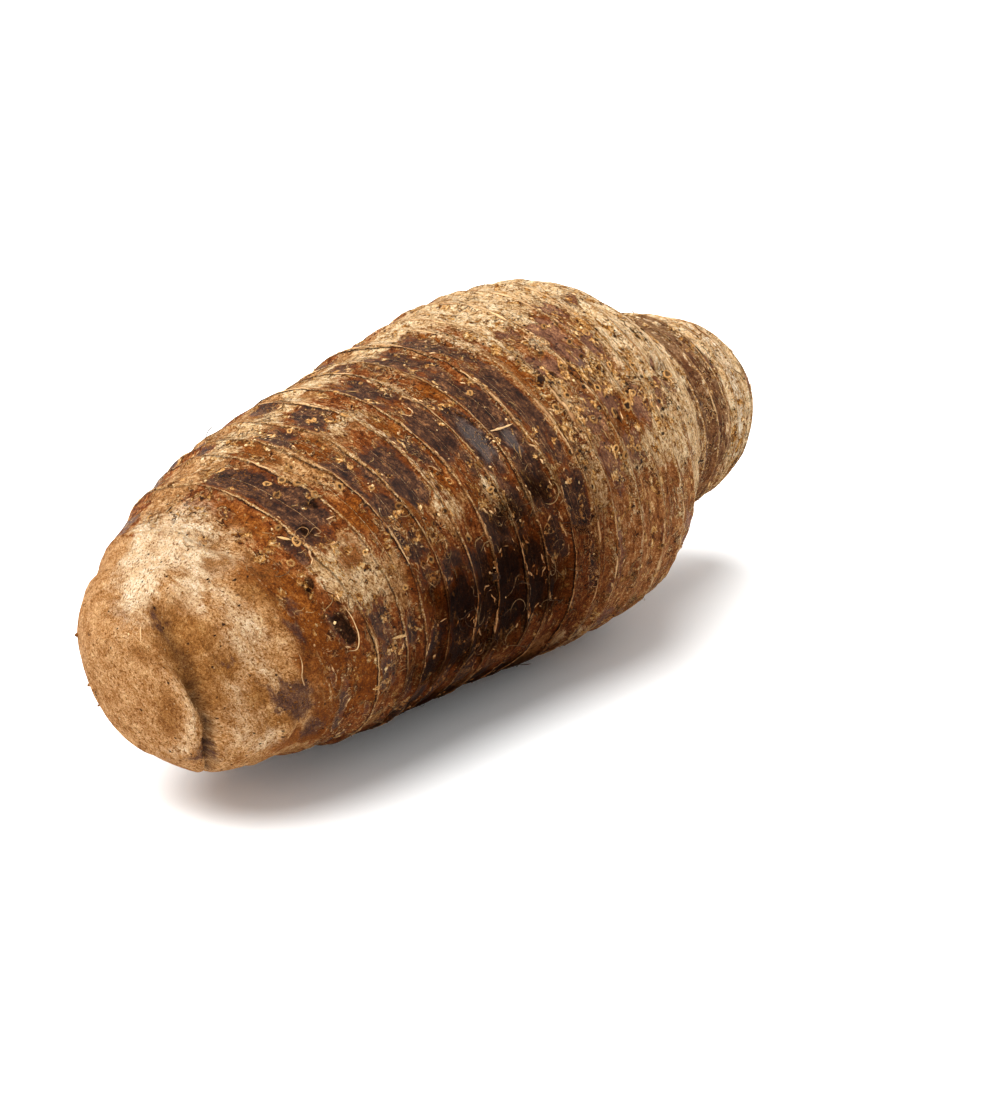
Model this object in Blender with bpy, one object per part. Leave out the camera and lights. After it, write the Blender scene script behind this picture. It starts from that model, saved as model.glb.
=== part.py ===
"""Malanga corm: the thick underground stem of an aroid, grown as one piece, lying on its belly.

The form is worked out in millimetres, measured from the pale front end, and turned to metres where
the points go into the mesh. The skin is a tube of round sections on a slightly bent spine. The
sections lean a little, as the leaf scars do, so every row of points runs along a leaf scar or
between two. Ridges, swellings, hollows, the groove round the front face and the neck before the
knob at the back are raised on it by formulas.
"""
import bmesh
import bpy
import numpy as np

MM = 0.001

# Driving dimensions: the corm along its length, from the front face to the rim of the back face
LENGTH = 232.7
RADIUS = ((0, 16.5), (5.9, 24.3), (15.8, 29.9), (33.5, 36.5), (59.2, 40.9), (88.8, 43.5), (118.3, 47.0),
          (147.9, 48.7), (169.6, 44.2), (185.4, 31.1), (197.2, 29.3), (209.1, 27.3), (220.9, 24.7), (232.7, 18.5))
SPINE_SIDEWAYS = ((0, -2.4), (39.4, -0.7), (88.8, 3.8), (138.1, 3.8), (182.4, 0.2), (232.7, 1.8))
SPINE_HEIGHT = ((0, 35.0), (39.4, 44.3), (88.8, 46.7), (138.1, 49.3), (182.4, 52.0), (232.7, 46.4))
SPINE_STEP = 0.25
FRONT_BULGE = 1.6
BACK_BULGE = 3.2

# The row's origin, below the middle of the box, in the millimetres of the dimensions above
ORIGIN = np.array([116.2, 3.2, 1.4])

# Lean of the leaf scars: slope of a section towards the back, at the side and at the top
LEAN_SIDE = -0.014
LEAN_TOP = -0.137
LEAN_FADE_FRONT = 28.0
LEAN_FADE_BACK = 46.5

# Leaf scars: distance along the corm, and how high the ridge stands
SCARS = ((14.0, 0.2), (24.5, 0.25), (37.7, 0.4), (46.8, 0.35), (52.9, 0.65), (61.0, 0.4), (71.8, 0.45),
         (80.8, 0.7), (92.8, 0.45), (101.2, 0.4), (111.4, 0.7), (121.6, 0.5), (128.2, 0.55),
         (139.0, 0.5), (150.6, 0.5), (159.8, 0.4), (167.2, 0.4), (174.0, 0.4), (181.0, 0.4),
         (188.0, 0.5), (194.4, 0.5), (200.6, 0.5), (206.8, 0.5), (213.0, 0.5), (219.4, 0.4), (225.6, 0.3))
RIDGE_HALF = 1.1
RIDGE_WAVER = 0.3
BAND_DROOP = 0.55

# Swellings and hollows: distance along, angle, half length, half width, and height. Angles turn
# from the far side at 0, over the top at 90, to the near side at 180 and the belly at 270
FRONT_FORMS = ((11.0, 106, 9.0, 4.5, 1.2),
               (6.0, 123, 5.0, 6.0, -1.3),
               (26.0, 110, 4.5, 5.5, -1.0),
               (8.0, 165, 6.5, 14.0, -1.8),
               (20.5, 165, 4.0, 18.0, 0.7),
               (9.0, 78, 7.0, 8.0, -0.8))
BODY_FORMS = ((50.0, 58, 6.0, 10.0, -0.6),
              (85.0, 45, 14.0, 14.0, -1.0),
              (92.0, 205, 5.0, 7.0, 1.0),
              (98.0, 272, 20.0, 22.0, 1.6),
              (70.0, 340, 24.0, 18.0, 1.4),
              (130.0, 345, 22.0, 18.0, -1.6),
              (40.0, 300, 14.0, 14.0, -1.2),
              (105.0, 15, 14.0, 14.0, 0.9),
              (205.0, 330, 8.0, 10.0, -0.8),
              (215.0, 250, 8.0, 10.0, 0.7))
BUDS_AND_DIMPLES = ((165.0, 105, 3.5, 5.0, 1.6),
                    (172.0, 140, 4.5, 4.5, -1.8),
                    (120.0, 318, 5.0, 7.0, 1.5),
                    (66.0, 28, 5.0, 7.0, 1.4),
                    (160.0, 20, 6.0, 8.0, -1.4))

# Long low waves in the skin: millimetres along for one radian, turns round, phase and height
WAVES = ((15.0, 2, 1.0, 0.25), (9.0, -3, 2.1, 0.18), (6.5, 5, 0.4, 0.1))
WAVES_FADE_FRONT = 25.0
WAVES_FADE_BACK = 20.0

# Groove round the front face, on the side that shows its lip
GROOVE_AT = 2.0
GROOVE_HALF = 1.6
GROOVE_DEPTH = 1.5
GROOVE_MIDDLE = 172
GROOVE_SPREAD = 78

# Points of the mesh: how many round the corm, and where the rows lie. A row lies on each scar's
# crest and one on each foot, with one more in a wide band and only one in a narrow band
SEGMENTS = 58
FRONT_ROWS = (-12.5, -8.0, -3.5, 0.0, 2.0, 4.0, 6.5, 9.0, 11.5)
BACK_ROWS = (229.2, 232.7, 236.5, 243.0)
SCAR_FOOT = 1.5
NARROW_GAP = 7.1
WIDE_GAP = 10.2

BARK_BROWN = (0.27, 0.145, 0.062)
BARK_ROUGHNESS = 0.78


def unit(vectors):
    return vectors / np.linalg.norm(vectors, axis=-1, keepdims=True)


def curve_through(table, where):
    """A smooth curve through hand-set points, by cubic Hermite pieces."""
    places, values = np.array(table, dtype=float).T
    gaps = np.diff(places)
    slopes = np.diff(values) / gaps
    tangents = np.concatenate([slopes[:1], (slopes[:-1] * gaps[1:] + slopes[1:] * gaps[:-1])
                               / (gaps[1:] + gaps[:-1]), slopes[-1:]])
    piece = np.clip(np.searchsorted(places, where, side="right") - 1, 0, len(gaps) - 1)
    t = (where - places[piece]) / gaps[piece]
    return ((2 * t ** 3 - 3 * t ** 2 + 1) * values[piece] + (3 * t ** 2 - 2 * t ** 3) * values[piece + 1]
            + (t ** 3 - 2 * t ** 2 + t) * gaps[piece] * tangents[piece]
            + (t ** 3 - t ** 2) * gaps[piece] * tangents[piece + 1])


def spine_at(along):
    """Centre of the section and its three directions: forward along the spine, to the side and up."""
    def centre(x):
        return np.stack([x, curve_through(SPINE_SIDEWAYS, x), curve_through(SPINE_HEIGHT, x)], axis=-1)
    forward = unit(centre(np.minimum(along + SPINE_STEP, LENGTH)) - centre(np.maximum(along - SPINE_STEP, 0.0)))
    side = unit(np.cross(np.array([0.0, 0.0, 1.0]), forward))
    return centre(along), forward, side, np.cross(forward, side)


def bump(distance, half):
    """One at the middle, falling smoothly to nothing about two half widths away."""
    return np.exp(-(distance / half) ** 2)


def ends_fade(reach, front, back):
    """One along the corm, falling to nothing at its two ends over the lengths given."""
    return np.clip(reach / front, 0.0, 1.0) * np.clip((LENGTH - reach) / back, 0.0, 1.0)


def turn_from(angle, degrees):
    """The turn from a direction in degrees, between half a turn back and half a turn on."""
    return (angle - np.radians(degrees) + np.pi) % (2 * np.pi) - np.pi


def scar_relief(reach, angle):
    """Thin ridges at the leaf scars, and bands that droop a little between them."""
    height = np.zeros(np.broadcast(reach, angle).shape)
    places = np.array([place for place, _ in SCARS])
    for index, (place, ridge) in enumerate(SCARS):
        waver = 1.0 + RIDGE_WAVER * np.sin((2 + index % 3) * angle + 1.7 * index)
        height += ridge * waver * bump(reach - place, RIDGE_HALF)
    piece = np.clip(np.searchsorted(places, reach, side="right") - 1, 0, len(places) - 2)
    share = np.clip((reach - places[piece]) / np.diff(places)[piece], 0.0, 1.0)
    return height - BAND_DROOP * np.sin(np.pi * share)


def relief(reach, angle, radius):
    """How far the skin stands off the smooth tube."""
    height = scar_relief(reach, angle)
    for place, degrees, half_length, half_width, form in FRONT_FORMS + BODY_FORMS + BUDS_AND_DIMPLES:
        across = turn_from(angle, degrees) * radius
        height = height + form * bump(reach - place, half_length) * bump(across, half_width)
    calm = ends_fade(reach, WAVES_FADE_FRONT, WAVES_FADE_BACK)
    for length, turns, phase, wave in WAVES:
        height = height + calm * wave * np.sin(reach / length + turns * angle + phase)
    turn = turn_from(angle, GROOVE_MIDDLE)
    groove = bump(reach - GROOVE_AT, GROOVE_HALF) * bump(turn, np.radians(GROOVE_SPREAD))
    return height - GROOVE_DEPTH * groove


def skin(reach, angle):
    """Points of the skin. Reach runs from the middle of the front face, over its rim at 0, along
    the corm to the rim of the back face at LENGTH, and on to the middle of the back face."""
    along = np.clip(reach, 0.0, LENGTH)
    past_rim = along - reach
    fade = ends_fade(along, LEAN_FADE_FRONT, LEAN_FADE_BACK)
    lean = curve_through(RADIUS, along) * fade * (LEAN_SIDE * np.cos(angle) + LEAN_TOP * np.sin(angle))
    leaned = np.clip(along + lean, 0.0, LENGTH)
    centre, forward, side, up = spine_at(leaned)
    tube = curve_through(RADIUS, leaned)
    share = 1.0 - np.abs(past_rim) / tube
    outward = np.cos(angle)[..., None] * side + np.sin(angle)[..., None] * up
    bulge = np.where(past_rim > 0, -FRONT_BULGE, BACK_BULGE) * (1.0 - share ** 2)
    points = centre + (tube * share)[..., None] * outward + bulge[..., None] * forward
    lift = relief(reach, angle, tube) * share ** 4
    points = points + lift[..., None] * outward
    points[..., 2] = np.maximum(points[..., 2], ORIGIN[2])
    return (points - ORIGIN) * MM


def scar_rows():
    """Rows on each scar's crest and feet, with one more in a wide band."""
    rows = []
    for (place, _), (following, _) in zip(SCARS[:-1], SCARS[1:]):
        gap = following - place
        rows.append(place)
        if gap < NARROW_GAP:
            rows.append(place + gap / 2)
            continue
        rows.append(place + SCAR_FOOT)
        if gap > WIDE_GAP:
            rows.append(place + gap / 2)
        rows.append(following - SCAR_FOOT)
    return rows + [SCARS[-1][0]]


def make_corm():
    rows = np.array(FRONT_ROWS + tuple(scar_rows()) + BACK_ROWS)
    angles = np.linspace(0.0, 2 * np.pi, SEGMENTS, endpoint=False)
    reach, angle = np.meshgrid(rows, angles, indexing="ij")
    points = skin(reach, angle)
    front_pole = skin(np.array([-RADIUS[0][1]]), np.zeros(1))[0]
    back_pole = skin(np.array([LENGTH + RADIUS[-1][1]]), np.zeros(1))[0]
    form = bmesh.new()
    grid = [[form.verts.new(point) for point in row] for row in points]
    for near, far in zip(grid[:-1], grid[1:]):
        for index in range(SEGMENTS):
            following = (index + 1) % SEGMENTS
            form.faces.new((near[index], near[following], far[following], far[index]))
    for pole, rim in ((front_pole, grid[0]), (back_pole, grid[-1])):
        tip = form.verts.new(pole)
        for index in range(SEGMENTS):
            form.faces.new((tip, rim[index], rim[(index + 1) % SEGMENTS]))
    bmesh.ops.triangulate(form, faces=form.faces[:])
    bmesh.ops.recalc_face_normals(form, faces=form.faces[:])
    mesh = bpy.data.meshes.new("corm")
    form.to_mesh(mesh)
    form.free()
    mesh.shade_smooth()
    corm = bpy.data.objects.new("corm", mesh)
    bpy.context.collection.objects.link(corm)
    mesh.materials.append(bark_material())
    return corm


def bark_material():
    """Dry brown corky skin, quite matt."""
    material = bpy.data.materials.new("corky_bark_skin")
    material.use_nodes = True
    shader = material.node_tree.nodes["Principled BSDF"]
    shader.inputs["Base Color"].default_value = (*BARK_BROWN, 1.0)
    shader.inputs["Roughness"].default_value = BARK_ROUGHNESS
    shader.inputs["Metallic"].default_value = 0.0
    return material


for leftover in list(bpy.data.objects):
    bpy.data.objects.remove(leftover)
make_corm()
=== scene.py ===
"""The malanga corm as it is seen: corky brown skin with leaf scars, root scars, flakes and dry roots.

The skin repeats the corm's form from its driving dimensions, in millimetres from the pale front end,
on a much finer mesh. Places on the skin are given as reach, the distance along the corm from the rim
of the front face, and turn, in degrees: the far side is 0, the top 90, the near side 180 and the
belly 270. What lies on the skin is placed the same way.
"""
import itertools
import random

import bmesh
import bpy
import numpy as np
from mathutils import Matrix, Vector, kdtree


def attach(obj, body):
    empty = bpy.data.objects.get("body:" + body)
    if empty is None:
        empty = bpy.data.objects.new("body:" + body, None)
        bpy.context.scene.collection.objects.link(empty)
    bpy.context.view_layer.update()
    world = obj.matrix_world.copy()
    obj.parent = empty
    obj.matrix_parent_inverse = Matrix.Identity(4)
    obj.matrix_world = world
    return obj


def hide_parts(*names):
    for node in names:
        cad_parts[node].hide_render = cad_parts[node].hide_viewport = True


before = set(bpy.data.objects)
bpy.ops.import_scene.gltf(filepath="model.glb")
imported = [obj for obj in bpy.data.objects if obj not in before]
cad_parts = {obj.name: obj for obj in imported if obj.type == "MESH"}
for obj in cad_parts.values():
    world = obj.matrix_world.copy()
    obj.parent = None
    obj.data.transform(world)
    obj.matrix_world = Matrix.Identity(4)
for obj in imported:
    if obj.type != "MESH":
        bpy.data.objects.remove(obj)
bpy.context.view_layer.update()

MM = 0.001
DEGREES_IN_RADIAN = 57.3
SEED = 23

# The corm along its length, as the solid has it: reach and radius, and where its spine runs
LENGTH = 232.7
RADIUS = (
    (0, 16.5), (5.9, 24.3), (15.8, 29.9), (33.5, 36.5), (59.2, 40.9), (88.8, 43.5), (118.3, 47.0),
    (147.9, 48.7), (169.6, 44.2), (185.4, 31.1), (197.2, 29.3), (209.1, 27.3), (220.9, 24.7),
    (232.7, 18.5))
SPINE_SIDEWAYS = ((0, -2.4), (39.4, -0.7), (88.8, 3.8), (138.1, 3.8), (182.4, 0.2), (232.7, 1.8))
SPINE_HEIGHT = ((0, 35.0), (39.4, 44.3), (88.8, 46.7), (138.1, 49.3), (182.4, 52.0), (232.7, 46.4))
SPINE_STEP = 0.25
FRONT_BULGE = 1.6
BACK_BULGE = 3.2

# The middles of the front and back faces, as reach
POLES = (-RADIUS[0][1], LENGTH + RADIUS[-1][1])

# The row's origin, below the middle of the box
ORIGIN = np.array([116.2, 3.2, 1.4])

# Lean of the leaf scars: slope of a section towards the back, and where it fades to nothing
LEAN_SIDE = -0.014
LEAN_TOP = -0.137
LEAN_FADE_FRONT = 28.0
LEAN_FADE_BACK = 46.5

# Leaf scars: reach, and how high the ridge stands. Those at the very ends are faint: how many at each.
SCARS = (
    (14.0, 0.2), (24.5, 0.25), (37.7, 0.4), (46.8, 0.35), (52.9, 0.65), (61.0, 0.4), (71.8, 0.45),
    (80.8, 0.7), (92.8, 0.45), (101.2, 0.4), (111.4, 0.7), (121.6, 0.5), (128.2, 0.55), (139.0, 0.5),
    (150.6, 0.5), (159.8, 0.4), (167.2, 0.4), (174.0, 0.4), (181.0, 0.4), (188.0, 0.5), (194.4, 0.5),
    (200.6, 0.5), (206.8, 0.5), (213.0, 0.5), (219.4, 0.4), (225.6, 0.3))
END_SCARS = 2
RIDGE_HALF = 1.1
RIDGE_WAVER = 0.3
RIDGE_PHASE = 1.7
BAND_DROOP = 0.55

# Swellings and hollows: reach, turn, half length, half width and height
FORMS = (
    (11.0, 106, 9.0, 4.5, 1.2),
    (6.0, 123, 5.0, 6.0, -1.3),
    (26.0, 110, 4.5, 5.5, -1.0),
    (8.0, 165, 6.5, 14.0, -1.8),
    (20.5, 165, 4.0, 18.0, 0.7),
    (9.0, 78, 7.0, 8.0, -0.8),
    (50.0, 58, 6.0, 10.0, -0.6),
    (85.0, 45, 14.0, 14.0, -1.0),
    (92.0, 205, 5.0, 7.0, 1.0),
    (98.0, 272, 20.0, 22.0, 1.6),
    (70.0, 340, 24.0, 18.0, 1.4),
    (130.0, 345, 22.0, 18.0, -1.6),
    (40.0, 300, 14.0, 14.0, -1.2),
    (105.0, 15, 14.0, 14.0, 0.9),
    (205.0, 330, 8.0, 10.0, -0.8),
    (215.0, 250, 8.0, 10.0, 0.7),
    (165.0, 105, 3.5, 5.0, 1.6),
    (172.0, 140, 4.5, 4.5, -1.8),
    (120.0, 318, 5.0, 7.0, 1.5),
    (66.0, 28, 5.0, 7.0, 1.4),
    (160.0, 20, 6.0, 8.0, -1.4))

# Long low waves in the skin: millimetres along for one radian, turns round, phase and height
WAVES = ((15.0, 2, 1.0, 0.25), (9.0, -3, 2.1, 0.18), (6.5, 5, 0.4, 0.1))
WAVES_FADE_FRONT = 25.0
WAVES_FADE_BACK = 20.0

# Groove round the front face, on the side that shows its lip
GROOVE_AT = 2.0
GROOVE_HALF = 1.6
GROOVE_DEPTH = 1.5
GROOVE_MIDDLE = 172
GROOVE_SPREAD = 78

# Finer swellings and hollows of the front end, the bud and the pit: reach, turn, half length, half turn
# in degrees, and height
FINE_FORMS = (
    (9.5, 164, 5.5, 17.0, -1.2),
    (6.0, 116, 4.0, 9.0, -1.5),
    (29.0, 109, 4.5, 6.0, -1.0),
    (11.0, 97, 8.0, 4.5, 0.9),
    (24.0, 96, 8.0, 5.0, 0.6),
    (24.0, 130, 5.0, 6.0, 0.5),
    (38.5, 131, 2.0, 3.0, -0.5),
    (165.0, 105, 3.6, 4.4, -0.7),
    (165.0, 105, 1.6, 2.0, 1.0),
    (172.5, 140, 2.6, 3.2, -1.6),
    (15.0, 60, 6.0, 9.0, -0.6))

# The low ridge between the front end's two facets: turn and reach, its size, and where it shows
FACET_EDGE = (
    (60, 30.0), (100, 27.0), (123.5, 23.9), (158, 20.9), (176.5, 19.1), (197, 15.4), (210, 14.6),
    (250, 14.0))
FACET_EDGE_HALF = 1.7
FACET_EDGE_HEIGHT = 1.0
FACET_FROM = 112
FACET_TO = 222
FACET_FADE = 20

# The crease behind the front face, soft above and sharp below: turn, reach, half width and depth
CREASE = (
    (60, 8.0, 4.0, 0.0), (100, 6.4, 3.6, 0.9), (116, 4.8, 3.0, 1.5), (131, 3.6, 2.4, 1.7),
    (154, 2.4, 1.7, 1.8), (181, 2.1, 1.2, 1.9), (213, 2.2, 0.9, 1.9), (226, 3.0, 0.8, 1.9),
    (240, 4.2, 0.8, 1.9), (252, 5.6, 0.9, 1.7), (275, 7.0, 1.2, 0.0))
SHARP_CREASE = 1.9

# The lip in front of the crease: its place and height, and how it falls off on the face and in the crease
CREASE_LIP_BEFORE = 0.1
CREASE_LIP_HEIGHT = 1.1
CREASE_LIP_ON_FACE = 4.0
CREASE_LIP_BEHIND = 0.7

# The fine skin: points round it, rows beside each leaf scar and between them, and rows from the middle of
# the front face to its rim, on to the first leaf scar, and from the last one to the middle of the back face
SEGMENTS = 250
SCAR_ROWS = (-1.0, -0.5, -0.22, 0.0, 0.22, 0.5, 1.0)
ROW_SPACING = 0.98
END_ROWS = ((-16.1, -0.8, 17), (0.0, SCARS[0][0] - 1.4, 30),
            (SCARS[-1][0] + 1.6, LENGTH, 7), (LENGTH + 0.8, LENGTH + 18.0, 16))

# Whole-number factors and masks that turn a cell's place into a number of no pattern
CELL_FACTORS = (73856093, 19349663, 83492791)
SEED_FACTOR = 2654435
MIXING_FACTOR = 1274126177
LOW_31_BITS = 0x7FFFFFFF
LOW_16_BITS = 0xFFFF

# Smooth noises over the skin: strength, features to a millimetre along the corm and across it, seed and
# octaves. One with fewer features across than along is drawn out round the corm, as the bark's fibres are.
NOISES = {
    "fibres": (0.2, 0.55, 0.16, 3, 3),
    "swells": (0.42, 0.14, 0.14, 9, 3),
    "crease_wander": (0.5, 0.22, 0.22, 19, 2),
    "crease_depth": (0.5, 0.35, 0.35, 14, 2),
    "crease_shade": (0.6, 0.3, 0.3, 21, 3),
    "fingers": (5.0, 0.42, 0.126, 31, 3),
    "fine_fingers": (2.6, 1.0, 0.3, 33, 3),
    "drift": (1.3, 0.2, 0.2, 47, 3),
    "holes": (2.4, 0.6, 0.18, 52, 3),
    "mottle": (1.0, 0.36, 0.108, 58, 3),
    "streaks": (1.0, 0.5, 0.15, 66, 3),
    "ring_wear": (1.8, 0.24, 0.072, 77, 3),
    "ring_wander": (0.8, 0.08, 0.08, 71, 3),
    "presence": (1.0, 0.09, 0.09, 61, 3),
    "low_shade": (0.35, 0.08, 0.08, 25, 3),
    "torn_clusters": (0.9, 0.13, 0.13, 83, 2),
    "strips": (0.5, 0.9, 0.9, 91, 2)}

# On the two end faces the noise is drawn out too: how far its place along the corm follows the reach
END_FLATNESS = 0.3

# Patches on the side that shows, by kind: reach, turn, half length in millimetres and half turn in degrees
PATCHES = {
    # Outer skin still whole, chocolate brown, in the bands between leaf scars
    "dark": (
        (33.2, 168, 1.9, 8.5), (36.8, 132, 3.0, 7), (40.6, 130, 3.8, 8), (41.0, 94, 3.2, 7),
        (41.0, 172, 3.2, 6), (41.0, 184, 2.2, 6), (41.5, 106, 3.6, 9), (42.4, 121, 4.2, 10),
        (45.0, 127, 2.4, 7), (48.5, 185, 2.6, 6), (50.0, 68, 2.2, 5), (56.5, 124, 3.6, 9),
        (56.5, 140, 4.2, 6), (56.8, 156, 3.6, 7), (57.0, 94, 4.0, 6), (57.0, 190, 3.2, 7),
        (57.0, 204, 3.4, 6), (65.5, 124, 6.0, 7), (66.0, 137, 5.6, 8), (66.0, 180, 4.4, 6),
        (66.3, 166, 4.6, 6), (66.5, 196, 4.6, 7), (67.0, 95, 4.6, 6.5), (70.5, 72, 5.0, 4),
        (76.3, 174, 3.8, 9), (76.3, 192, 3.6, 6), (76.5, 128, 3.6, 8), (86.8, 97, 5.4, 11),
        (86.8, 180, 5.2, 8), (86.8, 197, 4.8, 6), (87.0, 126, 5.6, 12), (87.0, 164, 5.0, 7),
        (90.0, 142, 3.0, 4), (97.0, 132, 4.6, 15), (97.0, 158, 3.8, 9), (97.0, 176, 3.6, 7),
        (97.0, 192, 3.4, 6), (97.5, 78, 4.0, 4), (104.5, 114, 4.2, 8), (105.5, 94, 4.4, 12),
        (106.0, 130, 5.2, 17), (106.0, 175, 4.2, 7), (106.3, 158, 4.6, 8), (107.0, 149, 4.6, 6),
        (115.5, 92, 3.6, 8), (115.8, 127, 4.6, 14), (116.0, 148, 4.0, 7), (116.3, 166, 4.2, 8),
        (118.5, 105, 2.4, 5), (124.5, 148, 2.6, 10), (133.5, 161, 4.8, 7), (134.0, 124, 5.0, 7),
        (134.0, 145, 5.0, 8), (134.5, 109, 3.6, 4), (144.5, 124, 5.4, 7), (145.0, 113, 5.5, 6),
        (145.0, 142, 5.2, 7), (145.0, 159, 5.2, 7), (155.0, 107, 4.5, 4.5), (155.0, 124, 4.6, 6),
        (155.0, 147, 5.0, 6), (165.0, 104, 2.4, 4.5), (166.0, 147, 5.5, 3.5), (173.0, 140, 2.8, 3.5)),
    # Bare tan cork, where the skin is gone
    "pale": (
        (3.0, 100, 21.0, 200), (24.0, 96, 9.0, 12), (24.5, 124, 6.0, 14), (29.6, 104, 4.0, 15),
        (34.0, 72, 14.0, 12), (41.0, 152, 6.2, 14), (42.0, 92, 3.0, 12), (47.5, 168, 3.0, 5),
        (50.0, 105, 3.2, 17), (50.0, 158, 2.8, 10), (60.0, 74, 28.0, 12), (60.0, 152, 4.0, 5),
        (60.5, 112, 1.6, 20), (66.0, 145, 8.0, 2.5), (71.0, 107, 9.5, 4.5), (73.5, 150, 6.0, 4.5),
        (73.6, 128, 1.2, 14), (81.0, 96, 1.2, 14), (82.0, 150, 6.0, 3), (88.0, 66, 30.0, 8),
        (92.5, 151, 5.2, 5), (93.6, 96, 1.6, 14), (101.2, 95, 1.3, 14), (103.0, 162, 2.0, 3.0),
        (118.0, 72, 34.0, 10), (123.0, 122, 2.4, 44), (124.0, 163, 4.0, 8), (129.0, 104, 2.8, 14),
        (129.5, 128, 2.2, 20), (136.0, 154, 8.0, 10), (140.0, 95, 11.0, 13), (148.0, 76, 30.0, 14),
        (150.0, 135, 3.0, 8), (152.0, 162, 9.0, 6), (155.0, 86, 14.0, 16), (162.0, 160, 6.0, 12),
        (166.0, 125, 9.0, 28), (176.0, 120, 7.0, 80), (184.0, 140, 3.0, 60), (204.0, 96, 22.0, 18),
        (214.0, 150, 8.5, 80)),
    # Cream cork on the crests, on the top and round the neck
    "cream": (
        (60.0, 78, 14.0, 6), (70.5, 106, 6.5, 3.0), (73.0, 149, 3.0, 2.6), (73.6, 122, 0.9, 16),
        (86.0, 74, 18.0, 5), (92.8, 150, 3.6, 2.6), (93.5, 96, 0.9, 12), (103.5, 162, 1.2, 2.0),
        (110.0, 76, 24.0, 7), (122.6, 102, 2.0, 8), (123.0, 95, 1.8, 12), (129.4, 106, 2.2, 10),
        (139.0, 97, 8.0, 9), (140.0, 118, 3.0, 4), (150.0, 82, 20.0, 9), (150.0, 88, 10.0, 8),
        (158.0, 98, 6.0, 8), (160.0, 92, 8.0, 10), (168.0, 118, 7.0, 14), (169.0, 144, 5.0, 7),
        (170.0, 130, 5.0, 8), (176.0, 106, 5.0, 16), (176.0, 130, 4.0, 22), (180.0, 150, 3.0, 12),
        (181.0, 128, 2.0, 30), (187.6, 140, 1.0, 40), (190.0, 118, 5.0, 8), (194.4, 130, 1.0, 30),
        (196.0, 112, 4.0, 7), (200.6, 140, 1.2, 40), (205.0, 168, 2.0, 10), (206.0, 128, 3.0, 8),
        (208.0, 104, 8.0, 9), (211.0, 140, 7.0, 70), (214.0, 170, 4.0, 24), (215.0, 120, 4.0, 14),
        (218.0, 150, 6.0, 50), (222.0, 140, 8.0, 60), (226.0, 140, 5.0, 60)),
    # Nearly white cork, dry and bleached, on the front end's facets and the rim of the hind end
    "bleached": (
        (-1.4, 200, 1.0, 30), (6.0, 198, 1.2, 9), (9.0, 176, 1.5, 10), (10.5, 204, 2.2, 7),
        (12.0, 88, 9.0, 14), (12.5, 152, 1.6, 10), (14.5, 166, 1.2, 7), (15.0, 116, 5.0, 7),
        (16.5, 142, 2.2, 11), (18.0, 128, 1.6, 9), (20.0, 74, 11.0, 10), (20.0, 92, 14.0, 11),
        (22.0, 112, 6.0, 11), (28.0, 84, 3.6, 9), (29.0, 103, 2.6, 9), (168.0, 126, 1.4, 10),
        (174.0, 134, 1.8, 15), (212.0, 152, 4.4, 55)),
    # Fresh rusty under-skin
    "orange": (
        (5.2, 87, 2.4, 5), (20.0, 214, 8.0, 8), (22.5, 173, 3.0, 12), (27.0, 156, 5.0, 31),
        (27.0, 196, 6.5, 16), (34.0, 115, 1.9, 9), (34.0, 196, 9.0, 14), (34.6, 100, 1.9, 14),
        (43.0, 146, 3.0, 5), (50.0, 92, 3.0, 8), (50.0, 136, 3.0, 7), (56.0, 168, 4.0, 8),
        (57.0, 108, 3.0, 10), (61.0, 150, 4.0, 7), (68.0, 105, 5.0, 6), (76.0, 126, 3.6, 22),
        (84.0, 78, 6.0, 5), (85.0, 150, 4.0, 5), (99.0, 112, 6.0, 6), (119.0, 98, 3.0, 20),
        (126.0, 128, 3.0, 20), (142.0, 150, 12.0, 8)),
    # Dull brown in the front end's hollows, partly the cork's own colour and partly painted shade of the
    # hollows
    "brown": (
        (-7.0, 190, 3.0, 40), (-2.0, 110, 2.0, 16), (3.6, 150, 2.8, 14), (4.0, 172, 1.8, 12),
        (5.5, 109, 2.4, 7), (6.0, 127, 4.4, 15), (8.0, 152, 3.4, 9), (11.0, 180, 3.0, 7),
        (13.0, 196, 4.0, 5), (22.0, 140, 1.6, 8), (23.0, 116, 3.0, 5), (27.5, 109.5, 2.0, 4)),
    # Purple-brown stains on the front end and round the bud
    "stain": (
        (2.5, 226, 1.5, 8), (5.5, 108, 1.0, 4), (8.8, 150, 1.0, 2.5), (15.8, 183, 3.0, 8),
        (17.6, 190, 2.2, 8), (19.4, 187, 1.8, 6), (21.0, 208, 2.4, 7), (24.0, 156, 1.3, 3),
        (26.5, 150, 1.0, 3), (162.6, 105, 0.8, 3.0), (165.2, 101, 1.6, 0.8), (165.6, 109, 2.0, 0.9),
        (167.6, 105, 0.7, 2.2), (172.8, 141, 1.3, 2.2)),
    # Chips and pits, painted black inside as the shade in each hollow
    "hole": (
        (32.2, 147, 1.2, 1.9), (33.2, 168, 1.5, 7.5), (40.4, 132, 1.1, 1.5), (45.0, 121.5, 1.1, 1.5),
        (80.0, 178, 1.2, 1.6), (144.4, 147, 1.2, 1.4), (172.0, 126, 1.2, 1.5), (172.4, 141, 1.7, 2.2)),
    # Painted reflection: a grey sheen painted into the colour of the smoothest skin
    "painted_sheen": (
        (97.6, 135, 2.6, 8.5), (107.0, 140, 2.0, 4), (145.0, 132, 3.2, 3.5)),
    # Painted shadow on the low near side and under the belly, over skin that is darker there itself: nearly
    # black
    "shade": (
        (64.0, 178, 6.0, 6), (70.0, 204, 22.0, 8), (74.0, 186, 14.0, 9), (82.0, 238, 34.0, 12),
        (90.0, 176, 12.0, 7), (92.0, 161, 6.0, 5), (94.0, 192, 16.0, 10), (106.0, 157, 5.0, 5))}

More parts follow.
